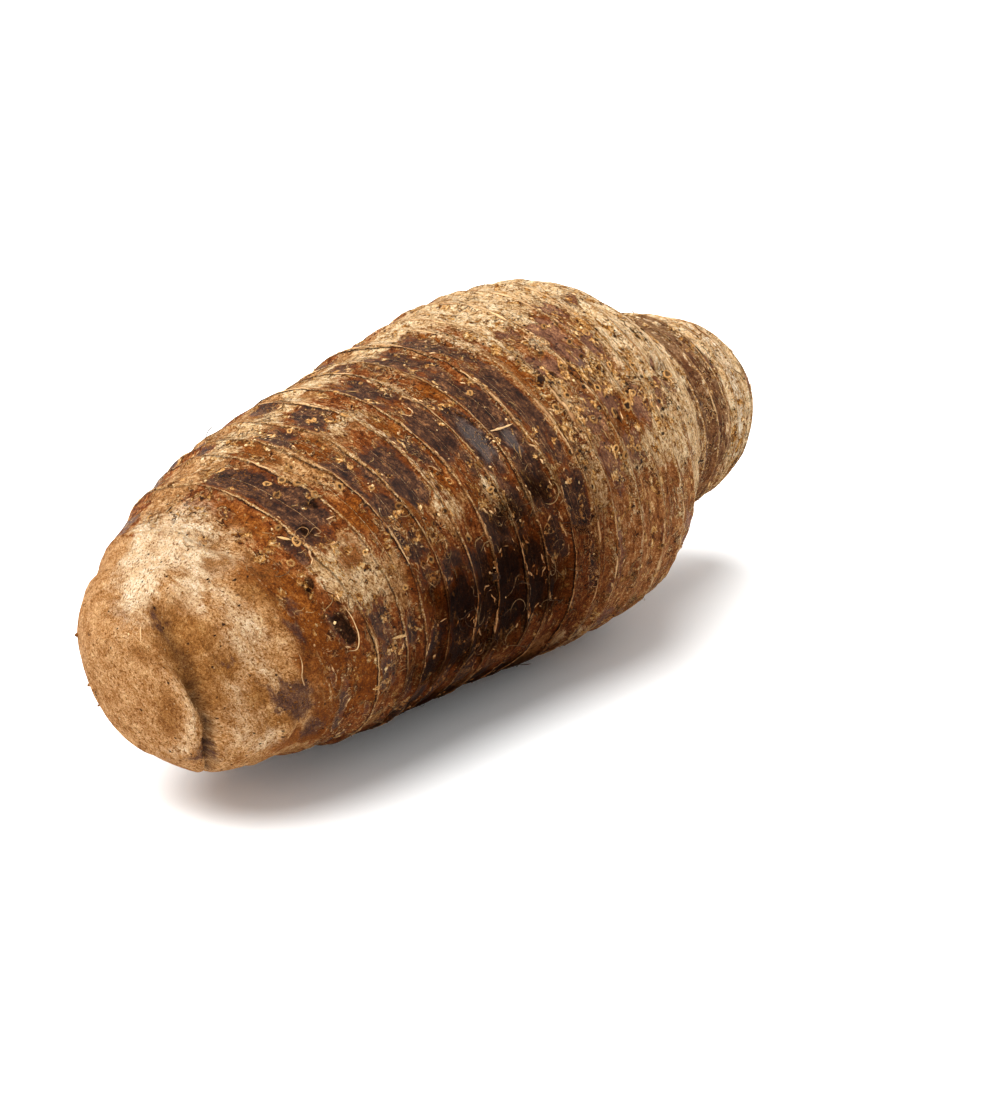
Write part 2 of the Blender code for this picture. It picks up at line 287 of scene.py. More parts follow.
# Places with a thick crust of dead cork, with whole skin that has little crust, and with skin faded to tan
CRUSTED_PATCHES = (
    (92.0, 152, 4.0, 5), (112.0, 122, 1.6, 22), (124.5, 150, 3.0, 24), (129.0, 130, 2.4, 22),
    (134.0, 134, 2.6, 7), (136.0, 116, 2.0, 6), (139.6, 140, 2.2, 28), (140.0, 163, 8.0, 6),
    (145.0, 136, 2.6, 6), (148.0, 152, 3.0, 5), (150.6, 140, 2.4, 26), (155.0, 114, 3.0, 6),
    (155.0, 138, 2.6, 7), (160.0, 135, 3.0, 26), (163.0, 128, 3.0, 14), (166.0, 152, 4.0, 8))
CALM_PATCHES = (
    (41.5, 112, 4.4, 24), (66.0, 133, 5.0, 12), (86.0, 180, 18.0, 17), (86.8, 126, 5.2, 12),
    (97.0, 136, 3.6, 12), (106.0, 132, 4.6, 14), (115.8, 127, 4.0, 12), (145.0, 113, 5.0, 5))
TAN_PATCHES = ((35.5, 146, 2.0, 6), (41.0, 153, 5.5, 13), (92.5, 151, 4.0, 4))

# How these set in, in millimetres outside and inside their edges
SOFT_EDGE = (-1.0, 1.0)
SOFT_TAN_EDGE = (-1.25, 1.25)

# A patch is a squarish oval: the power in its outline, and to how many millimetres off its edge places are
# told apart
PATCH_POWER = 5
FIELD_REACH = 4.0

# What else the material asks about each point
ASKED_PLACES = ("presence", "beside", "crease", "low_shade", "faded", "knob", "front", "along", "halo")

# Turns that the picture shows; past them chance takes over
SHOWN_FROM = 58
SHOWN_TO = 214
UNSEEN_MARGIN = 6

# Patches by chance on the far side and the belly: seed, how many, the most of a band's half that one fills,
# and the widest half turn. Then the least of both, the bands between leaf scars that have them, and how far
# they stray from a band's middle.
UNSEEN_PATCHES = {"dark": (SEED, 90, 0.95, 17),
                  "pale": (SEED + 1, 46, 0.8, 14),
                  "cream": (SEED + 2, 20, 0.5, 10)}
LEAST_OF_BAND = 0.55
LEAST_HALF_TURN = 4
UNSEEN_BANDS = (END_SCARS, len(SCARS) - 8)
UNSEEN_STRAY = 1.0

# Wear beside the leaf scars: how far past one it lies and its half width, in millimetres, how even it is and
# its most, and how much it takes from whole skin and gives to bare cork
WEAR_PAST_RING = 0.2
WEAR_HALF = 1.3
WEAR_EVENLY = 0.6
MOST_WEAR = 1.4
WEAR_ON_DARK = 1.8
WEAR_ON_PALE = 1.6

# Scraps of whole skin everywhere past the front end: how large and how common, and how bare cork thins them,
# from how far outside its patches and in how many millimetres
MOTTLED_FROM = 24.0
MOTTLE_SIZE = 5.0
MOTTLE_LEVEL = 0.24
MOTTLE_OFF_PALE = 1.2
THINNED_OUTSIDE = 1.0
THINNED_WITHIN = 3.0

# Streaks of bare cork: how they move a patch's edge, and how long and how common they are by themselves
STREAKS_ON_EDGE = 1.6
STREAK_LENGTH = 3.0
STREAK_LEVEL = 1.7

# How dark the low side is painted along the corm, as painted shade over skin that is a little darker there
# itself: reach and strength. Then the turns between which the painted shade sets in, on the near side and on
# the far side, and how much of its light a strip loses there.
LOW_SHADE_ALONG = (
    (14, 0.0), (26, 0.28), (45, 0.45), (60, 1.0), (118, 1.0), (134, 0.4), (156, 0.2), (180, 0.0))
LOW_SHADE_NEAR_SIDE = (138.0, 178.0)
LOW_SHADE_FAR_SIDE = (345.0, 300.0)
SHADED_BELOW = 0.65

# How faded the skin is along the corm, and the most that a tan place before that is faded. Toward the hind
# end the paleness is partly painted light, brightening that end where the key light leaves it dim.
FADED_ALONG = ((122, 0.0), (130, 0.85), (160, 0.85), (172, 1.25))
MOST_TAN = 0.8

# Where the material changes along the corm, as the reach of none and of all: lines at the leaf scars, the
# pale top of the front end, the front's granular cork, its fibres along the corm, and the small hind end
LINES = (30.0, 34.0)
PALE_TOP = (48.0, 40.0)
FRONT = (30.0, 22.0)
FIBRES_ALONG = (1.0, 3.0)
KNOB = (182.0, 188.0)

# The turn of the front end's top, and the radians from there to where it is no longer pale. The fibres along
# the corm go twice as far.
TOP_TURN = 85
TOP_HALF = 0.35

# Lines at the leaf scars: how sure one is, how patchy, and how much of it is lost on the pale top
LINE_SURE = 0.75
LINE_PATCHY = 0.9
LINES_LOST = 0.8

# Painted shade in the crease, darkest where the crease is deepest: how much, its most, how far behind the
# crease's middle it lies, and its half width beside a share of the crease's own
CREASE_SHADE = 0.65
MOST_CREASE_SHADE = 0.85
SHADE_BEHIND = 0.4
SHADE_HALF = 0.4
SHADE_OF_HALF = 0.3

# The brown band round the hind end: its reach, its half length, how full its middle is, and how brown the
# hind end is everywhere and in the band
KNOB_BAND = 194.0
KNOB_BAND_HALF = 9.0
KNOB_BAND_FULL = 1.3
KNOB_BROWN = 0.15
KNOB_BAND_BROWN = 0.8

# A leaf scar's painted shadow lies on its front side up to this reach and on its hind side past it
LAST_FRONT_LEDGE = 115.0

# How much a crusted place counts beside the bare cork round a root scar, and how far that goes in the scar's
# radii. Then how much calm skin takes away from both, save where they are stronger than the last number.
CRUSTED_SHARE = 0.62
HALO_REACH = 2.3
CALMED = 0.6
STRONG_HALO = 0.3

# The bark's grain: features to a millimetre along the corm and across it, detail, roughness and swirl.
# Fibres are 0.8 by 2 mm, blotches 2.5 by 5 mm, lumps of crust 1.3 by 1.8 mm, curled rags 2.4 mm, fibre
# ends 0.4 by 1 mm, spots on the hind end 1.7 by 4 mm, and grit and specks 0.7 mm and finer.
GRAINS = {
    "fibres": ((1.2, 0.5, 0.5), 6.0, 0.72, 0.0),
    "blotches": ((0.4, 0.2, 0.2), 5.0, 0.66, 0.0),
    "grit": ((1.5, 1.5, 1.5), 6.0, 0.76, 0.0),
    "specks": ((3.0, 3.0, 3.0), 2.0, 0.7, 0.0),
    "ragged": ((1.2, 0.5, 0.5), 8.0, 0.8, 0.0),
    "crust": ((0.3, 0.2, 0.2), 8.0, 0.72, 0.3),
    "clusters": ((0.12, 0.08, 0.08), 4.0, 0.7, 0.0),
    "curls": ((0.42, 0.42, 0.42), 2.5, 0.5, 0.9),
    "round_ends": ((2.6, 1.2, 1.2), 1.5, 0.5, 0.0),
    "along_ends": ((0.95, 2.4, 2.4), 1.5, 0.5, 0.0),
    "spots": ((0.6, 0.24, 0.24), 5.0, 0.66, 0.4),
    "lumps": ((0.75, 0.55, 0.55), 6.0, 0.72, 0.6)}

# Light and dark in the grain, fibrous along the body and granular on the front: a start, and what each
# grain adds
LIGHT_AND_DARK = {"body": (0.0, {"fibres": 0.4, "grit": 0.28, "blotches": 0.32}),
                  "front": (0.12, {"fibres": 0.16, "grit": 0.32, "blotches": 0.28})}

# How each kind of patch shows: raggedness of its edge, where it begins and is full, in millimetres inside
# it, and how much it covers
EDGES = {
    "pale": (11.0, -0.4, 0.7, 1.0),
    "orange": (8.0, -0.9, 1.2, 0.92),
    "cream": (9.0, -0.8, 1.0, 0.9),
    "bleached": (8.0, -1.8, 4.0, 1.0),
    "brown": (5.0, -1.4, 1.8, 0.9),
    "stain": (7.0, -0.6, 0.9, 0.95),
    "hole": (1.8, -0.3, 0.2, 0.93),
    "painted_sheen": (4.0, -0.3, 1.0, 0.5),
    "shade": (7.0, -3.4, 4.0, 0.8)}

# Crust and its clusters of rags: the grain where each begins and is full, more easily near a root scar
CRUSTED_GRAIN = {"crust": (0.555, 0.585), "clusters": (0.55, 0.59)}
CRUST_NEAR_ROOTS = 0.1

# Thin bands of light and dark, side by side, stand for an edge and the painted shadow beside it: where each
# begins, is full, starts to fade and ends, on the slope from one side of the edge to the other
BANDS = {
    "torn_shadow": (0.2, 0.32, 0.36, 0.42),
    "torn": (0.4, 0.47, 0.5, 0.58),
    "rag_shadow": (0.53, 0.55, 0.57, 0.59),
    "rags": (0.48, 0.495, 0.51, 0.525),
    "line_shadow": (0.32, 0.37, 0.42, 0.45),
    "line": (0.43, 0.47, 0.55, 0.59)}
BAND_COLOURS = ("#000000", "#ffffff", "#ffffff", "#000000")

# Cracked scales of cork: how many to a millimetre along the corm and across it. Then pores and grains of
# dry earth: how many to a millimetre, and how dark or light they are. The earth is drawn 0.4 mm wide, which
# is coarser than it is, so as to show.
SCALES_OF_CORK = (0.9, 0.3, 0.3)
SPECKLES = {"pores": (0.3, 0.9), "earth": (0.5, 0.4)}

# Colours of each kind of bark, from its darkest grain to its lightest
PALETTES = {
    "worn": ((0.0, "#341403"), (0.3, "#6a330c"), (0.6, "#935023"), (0.85, "#c0854a"), (1.0, "#e6b880")),
    "rusty": ((0.0, "#431c02"), (0.5, "#7c3e0a"), (1.0, "#ae6624")),
    "cork": ((0.0, "#643814"), (0.3, "#9c6634"), (0.6, "#c28e5a"), (1.0, "#e8ba86")),
    "cream": ((0.0, "#bc844a"), (0.4, "#e6bc86"), (0.8, "#fce0b4")),
    "bleached": ((0.0, "#b98a5a"), (0.35, "#dbb488"), (0.7, "#f0d6b0"), (1.0, "#fae8ce")),
    "whole": ((0.0, "#0e0401"), (0.35, "#2e1508"), (0.7, "#55341f"), (1.0, "#94633c")),
    "faded": ((0.0, "#34190d"), (0.4, "#6a412b"), (0.7, "#8e5e42"), (1.0, "#c8925c")),
    "spots": ((0.0, "#341608"), (0.5, "#684026"), (1.0, "#9c6c42")),
    "thin": ((0.0, "#341302"), (0.5, "#70360a"), (1.0, "#ac6824")),
    "brown": ((0.0, "#54300c"), (0.5, "#905a26"), (1.0, "#b88448")),
    "stain": ((0.0, "#24110b"), (0.5, "#54362a"), (1.0, "#8e603c")),
    "hole": ((0.0, "#0c0603"), (0.5, "#241309"), (1.0, "#4e3020")),
    "edge": ((0.35, "#7e4616"), (0.5, "#cc9458"), (0.62, "#f6d4a4")),
    "crust": ((0.4, "#3e1e0a"), (0.46, "#8c5522"), (0.54, "#d89c54"), (0.64, "#fadaa4"))}
GRAIN_OF_PALETTE = {"edge": "grit", "crust": "lumps"}

# What lies over the worn bark, from the lowest to the highest: its share, and its palette or colour
# Several layers are painted light: the dark bands beside torn edges, rags and lines are painted shadows, the
# grey gloss is a painted reflection, and the holes, the crease and the dark low side hold painted shade
LAYERS = (
    ("pale", "bare_cork"), ("orange", "rusty"), ("cream", "cream"), ("bleached", "bleached"),
    ("brown", "brown"), ("cracks", "#6a4018"), ("whole", "skin"), ("spots", "spots"), ("stain", "stain"),
    ("painted_sheen", "#5c5552"), ("hole", "hole"), ("crust", "crust"), ("torn_shadow", "#2a140a"), ("torn", "edge"),
    ("rag_shadow", "#2a140a"), ("rags", "edge"), ("line_shadow", "#241006"), ("line", "edge"),
    ("ends", "#7a4818"), ("pores", "#22140c"), ("earth", "#e0bc88"), ("shade", "#180802"),
    ("crease", "#24130a"))

# The tint of the painted shade on the low side, and how strongly specks lighten and darken everything
LOW_SHADE_COLOUR = "#927c6c"
SPECKLED = 0.35

# How far each stands up in the bark, or is sunk in it, next to its grain; and what 1 stands for, in
# millimetres
RISES = {"whole": 0.7, "crust": 0.9, "torn": 0.6, "rags": 0.7, "line": 0.7, "ends": -0.6, "pores": -0.9,
         "cracks": -0.8, "spots": -0.5, "hole": -1.0}
GRAIN_HEIGHT = 0.65

# Cork is full of air, so it shines much less than solid plant matter. Whole skin shines more, and the holes
# and the places of painted shade keep only a small share of their shine, which paints shade into their
# reflection too. The roughness is that of dry cork and of waxy skin.
PLANT_IOR = 1.45
SHINE_OF_CORK = 0.08
SHINE_OF_SKIN = 0.14
SHINE_KEPT_IN_DARK = 0.08
ROUGH_CORK = 0.85
ROUGH_SKIN = 0.52

# Dry stuff on the bark, by material: its dark and its light colour, and its roughness
DRY_STUFF = {
    # Rims of corky scars where roots were shed: matt tan rings
    "root_scar_cork": ("#54300f", "#b2834d", 0.85),
    # Torn slivers and lips of cork: straw-coloured threads that catch the light
    "torn_cork": ("#6b3c16", "#dbb280", 0.85),
    # Crumbled dead cork: pale, dusty grains
    "crumbling_cork": ("#6b3c16", "#e2bd88", 0.9),
    # Dried root hairs: brown fibres, a little smoother than the bark
    "dry_root_hair": ("#3a2417", "#b08a5a", 0.75),
    # Papery chips of dead skin: tan with brown edges
    "dead_skin_flake": ("#4a2610", "#d8ad74", 0.75)}
# Black at tone 0: dirt, and painted shade on the low side and where a dark strip stands for a crack's shadow
DIRT_AND_SHADE = "#1a0f09"
CUP_COLOUR = "#20120b"

# Streaks of the dry stuff, in features to a metre: 0.7 mm and finer
STREAKS_TO_A_METRE = 1400.0
STREAK_HEIGHT = 0.15

# Scars of shed roots that can be told apart: reach, turn and radius
SEEN_ROOT_SCARS = (
    (47, 122, 1.0), (47, 115, 1.0), (60, 162, 1.0), (72, 103, 0.9), (144, 147, 1.3), (58, 131, 0.8),
    (62, 128, 0.8), (46, 110, 1.0), (50, 108, 0.9), (43, 113, 1.1), (44, 107, 0.9), (37, 131, 1.2),
    (33, 136, 0.9), (52, 125, 0.9), (60, 141, 1.0), (74, 142, 1.1), (79, 142, 1.0), (66, 152, 0.9),
    (71, 150, 0.9), (91, 151, 0.8), (95, 117, 1.1), (108, 120, 0.8), (82, 111, 0.9), (93, 142, 1.0),
    (128, 128, 1.1), (132, 136, 1.0), (141, 136, 1.2), (138, 128, 0.9), (147, 127, 0.9),
    (155, 133, 1.0), (158, 128, 0.8), (160, 150, 1.0), (137, 157, 1.1), (147, 160, 1.0),
    (151, 156, 0.9), (139, 160, 1.0), (152, 130, 0.9), (129, 145, 1.0), (121, 152, 1.0),
    (146, 112, 0.9), (80, 178, 1.5), (104, 171, 1.4), (75, 162, 1.2), (133, 128, 1.3), (135, 146, 1.4),
    (143, 138, 1.2), (150, 147, 1.3), (156, 144, 1.1), (162, 136, 1.0), (126, 138, 1.2),
    (148, 121, 1.0), (136, 120, 1.0), (157, 120, 1.1), (164, 144, 1.0), (174.2, 142, 1.9))
SEEN_SCALE = 0.72

# Those by chance: how many, and their least radius and how much larger the largest are
UNSEEN_ROOT_SCARS = 240
LEAST_ROOT = 0.22
LARGER_ROOTS = 0.45

# The section of their rims: how far out, how high, how high on the crest, and how much of the cup's depth.
# Then how dark each of these rows is, from rim to cup, and the least and most of that in a whole cup.
RIM_PROFILE = ((0.34, -0.3, 0.0, 0.0), (0.17, 0.06, 0.0, 0.0), (0.0, 0.0, 0.2, 0.0),
               (-0.14, 0.0, 0.12, 0.0), (-0.24, 0.0, 0.0, 1.0), (-9.0, 0.0, 0.0, 1.0))
CUP_DARKNESS = (0.0, 0.0, 0.0, 0.45, 1.0, 1.0)
CUP_BY_CUP = (0.8, 1.0)
RIM_POINTS = 14
SMALLEST_CUP = 0.18

# Some rims are neat and the rest broken: how oval and uneven they are, how their crests rise and fall, and
# how much broader a broken rim can be. Where there are two numbers, the second is what breaking adds.
NEAT_SHARE = 0.15
RIM_OVAL = 0.14
RIM_UNEVEN = (0.03, 0.1)
CREST_HEIGHT = 0.9
CREST_UNEVEN = (0.35, 0.4)
CREST_STRAY = 0.5
CREST_LOWEST = -0.6
CREST_HIGHEST = 1.8
BROKEN_BREADTH = 0.9

# How many cups have a dark floor, just above the skin. The floor of the others is sunk under the skin, which
# then shows in the ring.
DARK_SHARE = 0.75
DARK_FLOOR = 0.03
SUNK_FLOOR = -0.5

# Scattered bits: their reach if nothing else is said, how many lie near a leaf scar, and how near
SCATTERED = (28.0, 225.0)
SHARE_AT_SCARS = 0.35
OFF_SCARS = 1.6

# Single threads and cracks that can be told apart: tone, half width, height, and places along them
SEEN_THREADS = (
    (0.95, 0.2, 0.3, ((35.3, 160), (35.5, 167), (34.9, 174), (33.6, 178), (31.6, 177))),
    (0.6, 0.15, 0.25, ((20.8, 166), (20.4, 171), (19.4, 176), (19.4, 181))),
    (1.0, 0.2, 0.5, ((3.0, 100), (2.2, 101), (1.4, 103), (0.6, 104))),
    (0.98, 0.4, 0.6, ((102.6, 134.5), (105.0, 135.0), (107.5, 135.5), (110.2, 136))),
    # A crack: this dark strip is the painted shadow under a lifted edge of skin
    (0.0, 0.4, 0.3, ((98.8, 121), (99.6, 125), (100.2, 129), (100.0, 132.5))),
    (0.1, 0.3, 0.9, ((3.0, 332), (3.7, 333))),
    (0.2, 0.25, 0.8, ((4.0, 345), (4.4, 347))),
    (0.1, 0.3, 0.7, ((5.2, 19), (5.8, 20.5))),
    (0.0, 0.3, 0.12, ((25.5, 97), (26.4, 97.3))),
    (0.0, 0.26, 0.12, ((22.3, 101.4), (23.0, 101.7))),
    (0.0, 0.3, 0.12, ((18.3, 117.2), (18.9, 118.0))),
    (0.0, 0.3, 0.12, ((9.7, 138.1), (10.3, 139.0))),
    (0.0, 0.24, 0.12, ((10.8, 105.8), (11.3, 106.4))),
    (0.0, 0.24, 0.12, ((27.6, 102.6), (28.1, 103.2))),
    (0.3, 0.14, 0.3, ((38.4, 128), (40.2, 128.2), (40.6, 130.6), (39.2, 131.8), (38.9, 130.0))),
    (0.42, 0.12, 0.4, ((39.6, 132), (41.9, 131.0), (42.0, 133.8), (40.6, 133.2), (41.6, 135.4))),
    (0.3, 0.2, 0.4, ((37.2, 134), (38.2, 132.0), (36.9, 130.2), (38.8, 127.6))))
THREAD_POINTS = 17

# Strips on the skin: their sections as places across and outward, and how thin their ends are
RIDGE_PROFILE = ((-1.0, -0.5), (1.0, -0.5), (0.0, 1.0))
HAIR_PROFILE = ((-1.0, -0.6), (1.0, -0.6), (0.0, 1.0))
FLAKE_PROFILE = ((-1.0, -1.0), (1.0, -1.0), (1.0, 1.0), (-1.0, 1.0))
END_OF_STRIP = 0.12

# Slivers along the torn edges: where they begin, how common they are outside the clusters, how much longer
# than the edge in one cell, how far they stray, and the least and most of their sizes and tone
TORN_FROM = 26
TORN_ANYWHERE = 0.05
TORN_POINTS = 4
TORN_STRETCH = (1.1, 1.9)
TORN_STRAY = 0.07
TORN_LIFT = (0.0, 0.1)
TORN_HALF_WIDTH = (0.12, 0.34)
TORN_HEIGHT = (0.1, 0.3)
TORN_TONE = (0.15, 0.9)

# Lips of the leaf scars: points and length of a strip, how far apart they start in lengths, and how patchy
LIP_POINTS = 9
LIP_LENGTH = (3.0, 9.0)
LIP_SPACING = (0.7, 1.05)
LIP_LEVEL = 0.38
LIP_LEVEL_DROP = 0.6
LIP_PATCHY = 0.15

# How the lips stray from the ring as a whole, at their ends and from point to point
LIP_STRAY = 0.12
LIP_SLANT = 0.2
LIP_UNEVEN = 0.07

# Their half width and height, how much broader a few are, and tone. Both sizes are larger where the leaf
# scar's ridge is high: their shares on no ridge, and what a ridge of a millimetre adds.
LIP_HALF_WIDTH = (0.11, 0.22)
LIP_BROAD = 0.22
LIP_RIDGE = (0.08, 0.24)
LIP_TONE = (0.04, 0.74)
WIDTH_BY_RIDGE = (0.8, 0.5)
HEIGHT_BY_RIDGE = (0.7, 0.7)

# The lips are broadest round this reach: by how much, and for how far to each side
BROADEST_LIP = 136
BROADER_LIPS = 0.7
BROADER_FOR = 22.0

# Crumbs of dead cork: how many and at what reach, points round one, the radians that one is turned at most,
# and its rows as breadth and height
CRUMBS = 800
CRUMBS_SPAN = (-8.0, 228.0)
CRUMB_POINTS = 5
MOST_CRUMB_TURN = 6
CRUMB_PROFILE = ((1.0, -0.4), (1.05, 0.35), (0.5, 1.0))

# How many crumbs lie round the root scars, and how far from them in radii; and the crumbs' sizes and tone
CRUMBS_AT_ROOTS = 0.6
CRUMB_AWAY = (1.1, 2.6)
LEAST_CRUMB = 0.1
LARGER_CRUMBS = 0.32
CRUMB_BREADTH = (0.6, 1.4)
CRUMB_HEIGHT = (0.4, 0.9)
CRUMB_TONE = (0.1, 0.9)

# Root hairs: how many and at what reach, how far they may wander, points along one, and length, curl,
# waviness, thickness and tone
HAIRS = 620
HAIRS_SPAN = (22.0, 228.0)
HAIR_LIMITS = (5.0, 228.0)
HAIR_POINTS = 12
HAIR_LENGTH = (0.8, 5.0)
HAIR_CURL = 1.4
HAIR_WAVES = 7.0
HAIR_WAVINESS = (0.0, 0.7)
HAIR_THICKNESS = (0.06, 0.14)
HAIR_TONE = (0.12, 0.9)
HAIR_LIFT = 0.08

# The few hairs that stand off and how high, how high the rest lie, and how much of an arch a hair makes
STANDING_SHARE = 0.1
STANDING_RISE = (0.5, 2.0)
LYING_RISE = (0.05, 0.3)
SHARE_OF_ARCH = (0.5, 1.0)

# Curled remains of roots in a tangle on the low near side
TANGLED = 40
TANGLE_REACH = (60, 112)
TANGLE_TURN = (160, 206)
TANGLE_CURL = (0.8, 4.6)
TANGLE_LENGTH = (3.0, 11.0)
TANGLE_TONE = (0.1, 0.85)

# Flakes of dead skin: how many and at what reach, points along one, how they turn from the rings, and their
# sizes and tone
FLAKES = 70
FLAKES_SPAN = (30.0, 215.0)
FLAKE_POINTS = 5
FLAKE_SWING = 0.8
FLAKE_LENGTH = (1.5, 4.5)
FLAKE_LIFT = 0.05
FLAKE_CURL = (0.05, 0.7)
FLAKE_HALF_WIDTH = (0.12, 0.4)
FLAKE_THICKNESS = (0.05, 0.09)
FLAKE_TONE = (0.1, 0.8)

# Camera: bearing and height in degrees, distance and aim in millimetres from the row's origin
CAMERA_BEARING = -51.7
CAMERA_HEIGHT = 21.38
CAMERA_DISTANCE = 677.6
CAMERA_AIM = (3.3, -16.4, 34.0)
PICTURE_HEIGHT = 1117
FOCAL_PIXELS = 2600
SENSOR = 36.0
NEAREST = 0.05

# One broad soft light from above, a little from the left and from the far side, and a weak, even sky
KEY_FROM = (-0.27, 0.24, 1.0)
KEY_SPREAD = 64
KEY_STRENGTH = 5.75
SKY_STRENGTH = 0.82

# The floor: its size in metres, and how many millimetres it lies under the corm. Matt paper gives back nearly
# all light, evenly to all sides.
FLOOR_SIZE = 14.0
FLOOR_GAP = 0.2
PAPER_COLOUR = "#fafaf9"
PAPER_ROUGHNESS = 0.9


def unit(vectors):
    """Vectors of the same directions and of length one."""
    return vectors / np.linalg.norm(vectors, axis=-1, keepdims=True)


def linear(code):
    """An sRGB hex colour as linear red, green, blue and alpha."""
    parts = [int(code[i:i + 2], 16) / 255 for i in (1, 3, 5)]
    return tuple(c / 12.92 if c <= 0.04045 else ((c + 0.055) / 1.055) ** 2.4 for c in parts) + (1.0,)


def curve_through(table, where):
    """A smooth curve through given points, by cubic Hermite pieces."""
    places, values = np.array(table, dtype=float).T
    gaps = np.diff(places)
    slopes = np.diff(values) / gaps
    tangents = np.concatenate([slopes[:1], (slopes[:-1] * gaps[1:] + slopes[1:] * gaps[:-1])
                               / (gaps[1:] + gaps[:-1]), slopes[-1:]])
    piece = np.clip(np.searchsorted(places, where, side="right") - 1, 0, len(gaps) - 1)
    t = (where - places[piece]) / gaps[piece]
    return ((2 * t ** 3 - 3 * t ** 2 + 1) * values[piece] + (3 * t ** 2 - 2 * t ** 3) * values[piece + 1]
            + (t ** 3 - 2 * t ** 2 + t) * gaps[piece] * tangents[piece]
            + (t ** 3 - t ** 2) * gaps[piece] * tangents[piece + 1])


def spine_at(along):
    """Centre of the section and its three directions: forward along the spine, to the side and up."""
    def centre(x):
        return np.stack([x, curve_through(SPINE_SIDEWAYS, x), curve_through(SPINE_HEIGHT, x)], axis=-1)
    ahead, behind = np.minimum(along + SPINE_STEP, LENGTH), np.maximum(along - SPINE_STEP, 0.0)
    forward = unit(centre(ahead) - centre(behind))
    side = unit(np.cross(np.array([0.0, 0.0, 1.0]), forward))
    return centre(along), forward, side, np.cross(forward, side)


def tube_at(reach):
    """Radius of the smooth tube, which past the ends stays that of the end faces' rims."""
    return curve_through(RADIUS, np.clip(reach, 0.0, LENGTH))


def bump(distance, half):
    """One at the middle, falling smoothly to nothing about two half widths away."""
    return np.exp(-(distance / half) ** 2)


def ramp(value, none, full):
    """From 0 at one value, rising evenly to 1 at the other."""
    return np.clip((value - none) / (full - none), 0.0, 1.0)


def ends_fade(reach, front, back):
    """One along the corm, falling to nothing at its two ends over the lengths given."""
    return np.clip(reach / front, 0.0, 1.0) * np.clip((LENGTH - reach) / back, 0.0, 1.0)


def turn_from(angle, degrees):
    """The turn from a direction in degrees, between half a turn back and half a turn on."""
    return (angle - np.radians(degrees) + np.pi) % (2 * np.pi) - np.pi


def lattice(cells, seed):
    """A repeatable number from 0 to 1 for each whole-number cell."""
    mixed = seed * SEED_FACTOR
    for axis, factor in enumerate(CELL_FACTORS):
        mixed = mixed ^ (cells[..., axis] * factor)
    mixed = (mixed ^ (mixed >> 13)) * MIXING_FACTOR & LOW_31_BITS
    return ((mixed ^ (mixed >> 16)) & LOW_16_BITS) / LOW_16_BITS


def cloud(points, seed, octaves):
    """Smooth noise from -1 to 1 over points in three dimensions, one feature to a unit of length."""
    total = np.zeros(points.shape[:-1])
    strength = 1.0
    for octave in range(octaves):
        place = points * 2 ** octave
        cells = np.floor(place).astype(np.int64)
        share = place - cells
        share = share * share * (3 - 2 * share)
        for corner in itertools.product((0, 1), repeat=3):
            step = np.array(corner)
            weight = np.prod(np.where(step == 1, share, 1 - share), axis=-1)
            total += strength * weight * (2 * lattice(cells + step, seed + octave) - 1)
        strength *= 0.5
    return total / (2 - 0.5 ** (octaves - 1))


def noise(name, space):
    """One of the named noises, at places in millimetres."""
    strength, along, across, seed, octaves = NOISES[name]
    return strength * cloud(space * np.array([along, across, across]), seed, octaves)


def skin_space(reach, angle):
    """Reach, and the place in the section, so that noise has no seam and can be drawn out round the corm."""
    along = np.clip(reach, 0.0, LENGTH)
    tube = curve_through(RADIUS, along) - np.abs(along - reach)
    flat = along + END_FLATNESS * (reach - along)
    return np.stack([flat, tube * np.cos(angle), tube * np.sin(angle)], axis=-1)


def scar_relief(reach, angle):
    """Thin ridges at the leaf scars, and bands that droop a little between them."""
    height = np.zeros(np.broadcast(reach, angle).shape)
    places = np.array([place for place, _ in SCARS])
    for index, (place, ridge) in enumerate(SCARS):
        waver = 1.0 + RIDGE_WAVER * np.sin((2 + index % 3) * angle + RIDGE_PHASE * index)
        height += ridge * waver * bump(reach - place, RIDGE_HALF)
    piece = np.clip(np.searchsorted(places, reach, side="right") - 1, 0, len(places) - 2)
    share = np.clip((reach - places[piece]) / np.diff(places)[piece], 0.0, 1.0)
    return height - BAND_DROOP * np.sin(np.pi * share)


def relief(reach, angle, radius):
    """How far the skin stands off the smooth tube."""
    height = scar_relief(reach, angle)
    for place, degrees, half_length, half_width, form in FORMS:
        across = turn_from(angle, degrees) * radius
        height = height + form * bump(reach - place, half_length) * bump(across, half_width)
    calm = ends_fade(reach, WAVES_FADE_FRONT, WAVES_FADE_BACK)
    for length, turns, phase, wave in WAVES:
        height = height + calm * wave * np.sin(reach / length + turns * angle + phase)
    turn = turn_from(angle, GROOVE_MIDDLE)
    groove = bump(reach - GROOVE_AT, GROOVE_HALF) * bump(turn, np.radians(GROOVE_SPREAD))
    return height - GROOVE_DEPTH * groove


def crease(reach, angle):
    """Millimetres behind the crease of the front face, and its half width and depth."""
    turns, places, halves, depths = np.array(CREASE).T
    turn = np.degrees(angle) % 360
    place = np.interp(turn, turns, places) + noise("crease_wander", skin_space(reach, angle))
    return reach - place, np.interp(turn, turns, halves), np.interp(turn, turns, depths)


